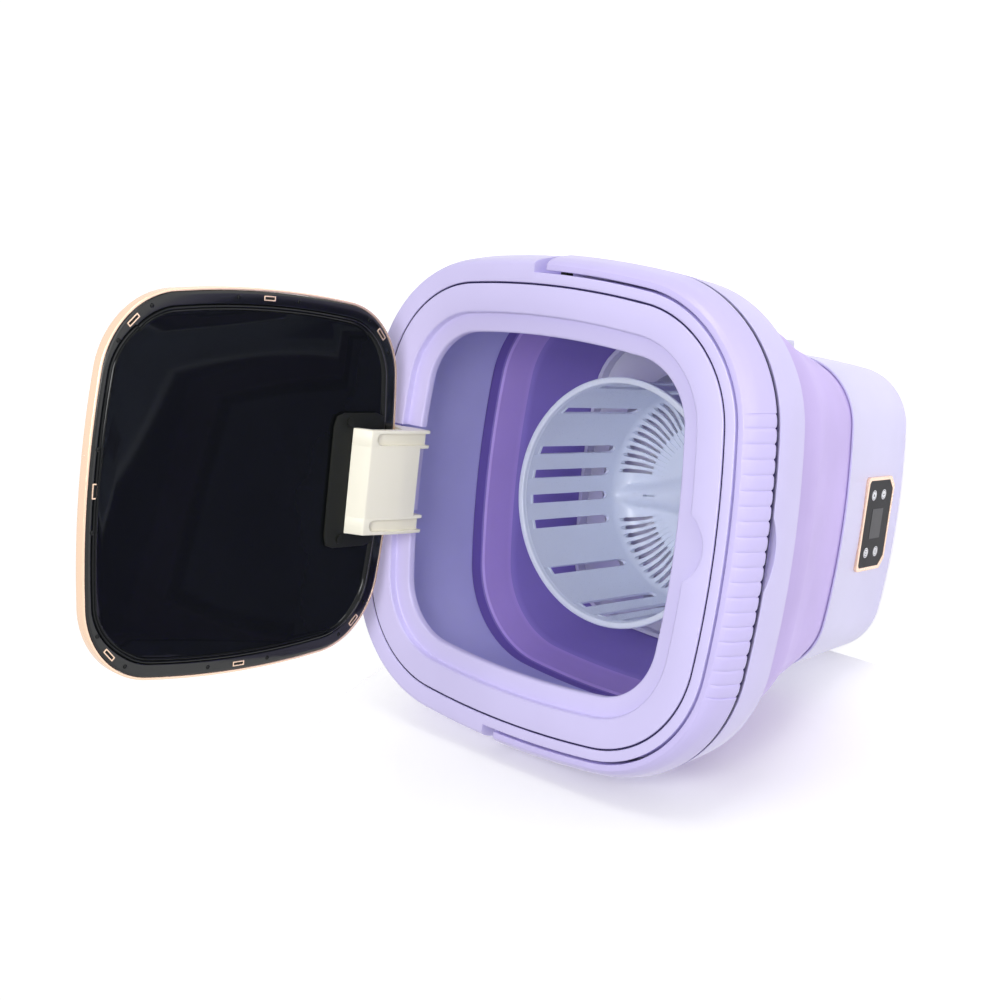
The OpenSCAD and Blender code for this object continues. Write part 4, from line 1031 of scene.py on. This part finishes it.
def basket_body():
    """Wall, rounded corner, floor and rim of the basket, with the ridge pushed up from its floor."""
    r, top = basket_wall_r, basket_top
    inner_r = r - SHELL_T
    low_z = basket_low + SHELL_T
    outer = foot_round(r, basket_low, CORNER_R)
    inner = foot_round(inner_r, low_z, CORNER_R)
    rim = rounded([(r, top - 6, 0.4), (basket_r - 0.4, top - 5, 0.6), (basket_r, top, 1.8),
                   (inner_r + 0.5, top, 1.2), (inner_r + 0.5, top - 3, 0.5), (inner_r, top - 4.2, 0.5)], 4)
    floor = [(inner_r - CORNER_R - k * (inner_r - CORNER_R - 22) / 12, low_z) for k in range(1, 13)]
    hub = rounded([(20, low_z, 2), (16.5, basket_low + 8, 3), (7, basket_low + 8.8, 0.4)], 4)
    bm = lathe([(7, basket_low)] + outer + rim + inner[::-1] + floor + hub, steps=240)
    for v in bm.verts:
        x, y, z = v.co
        if basket_low + 0.5 < z < basket_low + 18 and math.hypot(x, y) < inner_r - 0.5:
            v.co.z = max(z, low_z + ridge_height(x, y) + 0.35 * (z - low_z))
    return bm


def make_basket():
    """Basket with slots in its wall, a shallow field above each, and two fans in its floor."""
    basket = new_object("basket_shell", basket_body(), basket_white)
    r, inner_r = basket_wall_r, basket_wall_r - SHELL_T
    low_z, high_z = basket_low + SLOT_LOW, basket_low + SLOT_LOW + SLOT_LEN
    tool, grooves = bmesh.new(), bmesh.new()
    pitch = 360 / SLOT_PLACES
    for quarter in range(4):
        for k in (-1.5, -0.5, 0.5, 1.5, 3.5):
            angle = quarter * 90 + BASKET_TURN + k * pitch
            join_bm(tool, slot_cutter(angle, r, SLOT_W, low_z, high_z))
            field = box_bm(inner_r - 3, inner_r + 0.7, -SLOT_W / 2, SLOT_W / 2, high_z + 2,
                           basket_top - 4.6)
            join_bm(tool, moved(field, rotation(angle, "Z")))
    for side in (0, 180):
        for k in range(-16, 17):
            angle = side + FAN_TURN + k * VANE_PITCH
            join_bm(tool, vane_cutter(angle, SLOT_R, FAN_END, 1.1, 1.8, -5))
            join_bm(grooves, vane_cutter(angle, FLOOR_R, SLOT_R + 1, 0.6, 1.1, SHELL_T - 0.9))
        slit = box_bm(FLOOR_R, SLOT_R, -0.7, 0.7, basket_low + SHELL_T + 3, basket_low + 14)
        join_bm(tool, moved(slit, rotation(RIDGE_TURN + side, "Z")))
    cut(basket, tool)
    cut(basket, grooves)
    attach(basket, "basket")
    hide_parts("spin_basket")


# ---------- the carried-over pieces ----------

def dress(material, *names):
    for name in names:
        obj = frame["nodes"][name]
        obj.data.materials.clear()
        obj.data.materials.append(material)


def dress_nodes():
    dress(lavender, "hinge_mount")
    dress(pale, "bottom_cover", "board_spacers", "upper_clamp_ring")
    dress(rubber, "feet")
    dress(grey_painted_light, "lower_tub", "pulsator", "drain_spout", "drain_cap", "lower_clamp_ring")
    dress(dark, "gearbox_housing", "power_inlet")
    dress(steel, "cover_screws", "gearbox_screws", "shaft_bearings", "motor", "output_shaft",
          "pulsator_nut", "ring_screws", "hinge_pin")
    dress(brass, "motor_pinion")
    dress(basket_white, "output_gear")
    dress(board_green, "control_board")
    dress(rose_gold, "panel_frame")
    dress(panel_black, "panel_glass")
    dress(display_dark, "panel_display")
    dress(seal_black, "shaft_seal")
    # the handle's pins, which show in the gap at the handle's ends, are dark so that the gap reads as
    # shade: painted shade
    dress(pad_black, "hinge_screws", "handle_pins")
    dress(lead_red, "wiring_harness")


# ---------- stage ----------

WORLD_LIGHT = 0.56
FLOOR_TONE = 0.92
# the backdrop glows less near its centre, which paints the machine's shadow darker there; the floor glows
# evenly
FLOOR_GLOW, BACKDROP_GLOW = (0.46, 0.46), (0.0, 0.2)  # at the centre, and away from it
GLOW_ZONE = 0.02, 0.2  # metres from the centre, between which the glow changes
FLOOR_FADE, BACKDROP_FADE = (0.7, 2.4), (0.18, 0.32)  # and between which the surface fades out
FLOOR_HALF, BACKDROP_HALF, BACKDROP_LONG = 2.6, 1, 1.2
SIDE_GAP = 0.5 * MM  # between the machine and the backdrop


def smooth_step(tree, source, start, stop, low_value=0.0, high_value=1.0):
    """Output that goes smoothly from one value to the other while the source goes from start to stop."""
    made = node(tree, "ShaderNodeMapRange", Value=source, From_Min=start, From_Max=stop,
                To_Min=low_value, To_Max=high_value)
    made.interpolation_type = "SMOOTHSTEP"
    return made.outputs["Result"]


def arithmetic(tree, operation, *sources):
    """Math node on two outputs or numbers."""
    made = node(tree, "ShaderNodeMath")
    made.operation = operation
    for source, socket in zip(sources, made.inputs):
        set_input(tree, socket, source)
    return made.outputs["Value"]


def distance_from(tree, place):
    """Distance of the shaded point from a place, both in the object's own frame."""
    made = node(tree, "ShaderNodeVectorMath")
    made.operation = "DISTANCE"
    set_input(tree, made.inputs[0], node(tree, "ShaderNodeTexCoord").outputs["Object"])
    set_input(tree, made.inputs[1], place)
    return made.outputs["Value"]


def seeing_rays(tree):
    """1 for camera, glossy and transmission rays, and 0 for the rest."""
    path = node(tree, "ShaderNodeLightPath")
    largest = path.outputs["Is Camera Ray"]
    for kind in ("Is Glossy Ray", "Is Transmission Ray"):
        largest = arithmetic(tree, "MAXIMUM", largest, path.outputs[kind])
    return largest


def join_shaders(tree, kind, first, second, **values):
    """Add or mix node on two shaders."""
    made = node(tree, kind, **values)
    for source, socket in zip((first, second), list(made.inputs)[-2:]):
        set_input(tree, socket, source.outputs[0])
    return made


def stage_material(name, centre, glow_levels, fade, one_sided=False):
    """White surface that keeps the machine's shadow, glows and fades out with the distance from a centre;
    where its glow is lower near the centre, a darker shadow is painted there.

    The one-sided surface shows only from its front and only to the camera.
    """
    made = bpy.data.materials.new(name)
    made.use_nodes = True
    tree = made.node_tree
    tree.nodes.clear()
    diffuse = node(tree, "ShaderNodeBsdfDiffuse", Color=(FLOOR_TONE, FLOOR_TONE, FLOOR_TONE, 1))
    distance = distance_from(tree, centre)
    level = smooth_step(tree, distance, *GLOW_ZONE, *glow_levels)
    strength = arithmetic(tree, "MULTIPLY", seeing_rays(tree), level)
    glow = node(tree, "ShaderNodeEmission", Color=(1, 1, 1, 1), Strength=strength)
    amount = smooth_step(tree, distance, *fade)
    if one_sided:
        camera_ray = node(tree, "ShaderNodeLightPath").outputs["Is Camera Ray"]
        behind = node(tree, "ShaderNodeNewGeometry").outputs["Backfacing"]
        amount = arithmetic(tree, "MAXIMUM", amount, behind)
        amount = arithmetic(tree, "MAXIMUM", amount, arithmetic(tree, "SUBTRACT", 1, camera_ray))
    lit = join_shaders(tree, "ShaderNodeAddShader", diffuse, glow)
    clear = node(tree, "ShaderNodeBsdfTransparent")
    shown = join_shaders(tree, "ShaderNodeMixShader", lit, clear, Fac=amount)
    node(tree, "ShaderNodeOutputMaterial", Surface=shown.outputs[0])
    return made


def quad(name, corners, material):
    """Flat part of the stage, with corners in metres."""
    bm = bmesh.new()
    bm.faces.new([bm.verts.new(c) for c in corners])
    mesh = mesh_from(name, bm)
    mesh.materials.append(material)
    obj = linked(name, mesh)


def make_stage():
    """Floor, and the backdrop that the machine is pictured lying on, under its left side."""
    far, side = FLOOR_HALF, BACKDROP_HALF
    quad("floor", [(-far, -far, 0), (far, -far, 0), (far, far, 0), (-far, far, 0)],
         stage_material("floor_white", (0, 0, 0), FLOOR_GLOW, FLOOR_FADE))
    foot = Vector((-foot_half * MM - SIDE_GAP, 0, base_low * MM))
    edge = Vector((-skirt_half * MM - SIDE_GAP, 0, skirt_low * MM))
    top = foot + (edge - foot).normalized() * BACKDROP_LONG
    # the backdrop's glow is left out near the rim's left edge and rises away from it, which paints the
    # shadow there darkest
    painted_shadow_centre = Vector((12 - skirt_half, -90, skirt_low - 40)) * MM
    quad("side_backdrop",
         [(foot.x, -side, foot.z), (foot.x, side, foot.z), (top.x, side, top.z), (top.x, -side, top.z)],
         stage_material("backdrop_painted_shadow", painted_shadow_centre, BACKDROP_GLOW, BACKDROP_FADE, True))


def area_light(name, place, target, size, power):
    data = bpy.data.lights.new(name, "AREA")
    data.size = size
    data.energy = power
    obj = linked(name, data)
    obj.location = place
    obj.rotation_euler = (Vector(target) - Vector(place)).to_track_quat("-Z", "Y").to_euler()


def make_world():
    world = bpy.data.worlds.new("studio")
    bpy.context.scene.world = world
    world.use_nodes = True
    tree = world.node_tree
    light = node(tree, "ShaderNodeMapRange", Value=seeing_rays(tree), To_Min=WORLD_LIGHT, To_Max=1.0)
    set_inputs(tree, tree.nodes["Background"], Color=(1, 1, 1, 1), Strength=light.outputs["Result"])


def make_lights():
    area_light("key", (1.6, -0.3, 0.75), (0, 0, 0.2), 0.5, 4)
    area_light("mouth", (0.2, -0.45, 1.3), (0, 0, 0.15), 0.4, 6.5)
    area_light("front", (0.5, -1.6, 0.5), (0, 0, 0.2), 1.0, 4.5)


LENS = 53.15
CAMERA_PLACE = 0.1498, -0.6096, 1.0289
PICTURE_RIGHT, PICTURE_UP = (0.1110, -0.7371, -0.6666), (0.9821, 0.1841, -0.0400)


def make_camera():
    """Camera fitted to the object's outlines. Right and up in the picture are directions in the frame."""
    data = bpy.data.cameras.new("camera")
    data.lens = LENS
    data.sensor_width = 36
    data.clip_end = 50
    obj = linked("camera", data)
    right, up = Vector(PICTURE_RIGHT), Vector(PICTURE_UP)
    axes = Matrix((right, up, right.cross(up))).transposed().to_4x4()
    obj.matrix_world = Matrix.Translation(CAMERA_PLACE) @ axes
    bpy.context.scene.camera = obj


make_camera()
make_frame()
make_ring()
make_handle()
make_wall()
make_base()
make_lid()
make_pad()
make_bracket()
make_panel()
make_basket()
dress_nodes()
make_stage()
make_world()
make_lights()
bpy.context.scene.view_settings.view_transform = "Standard"
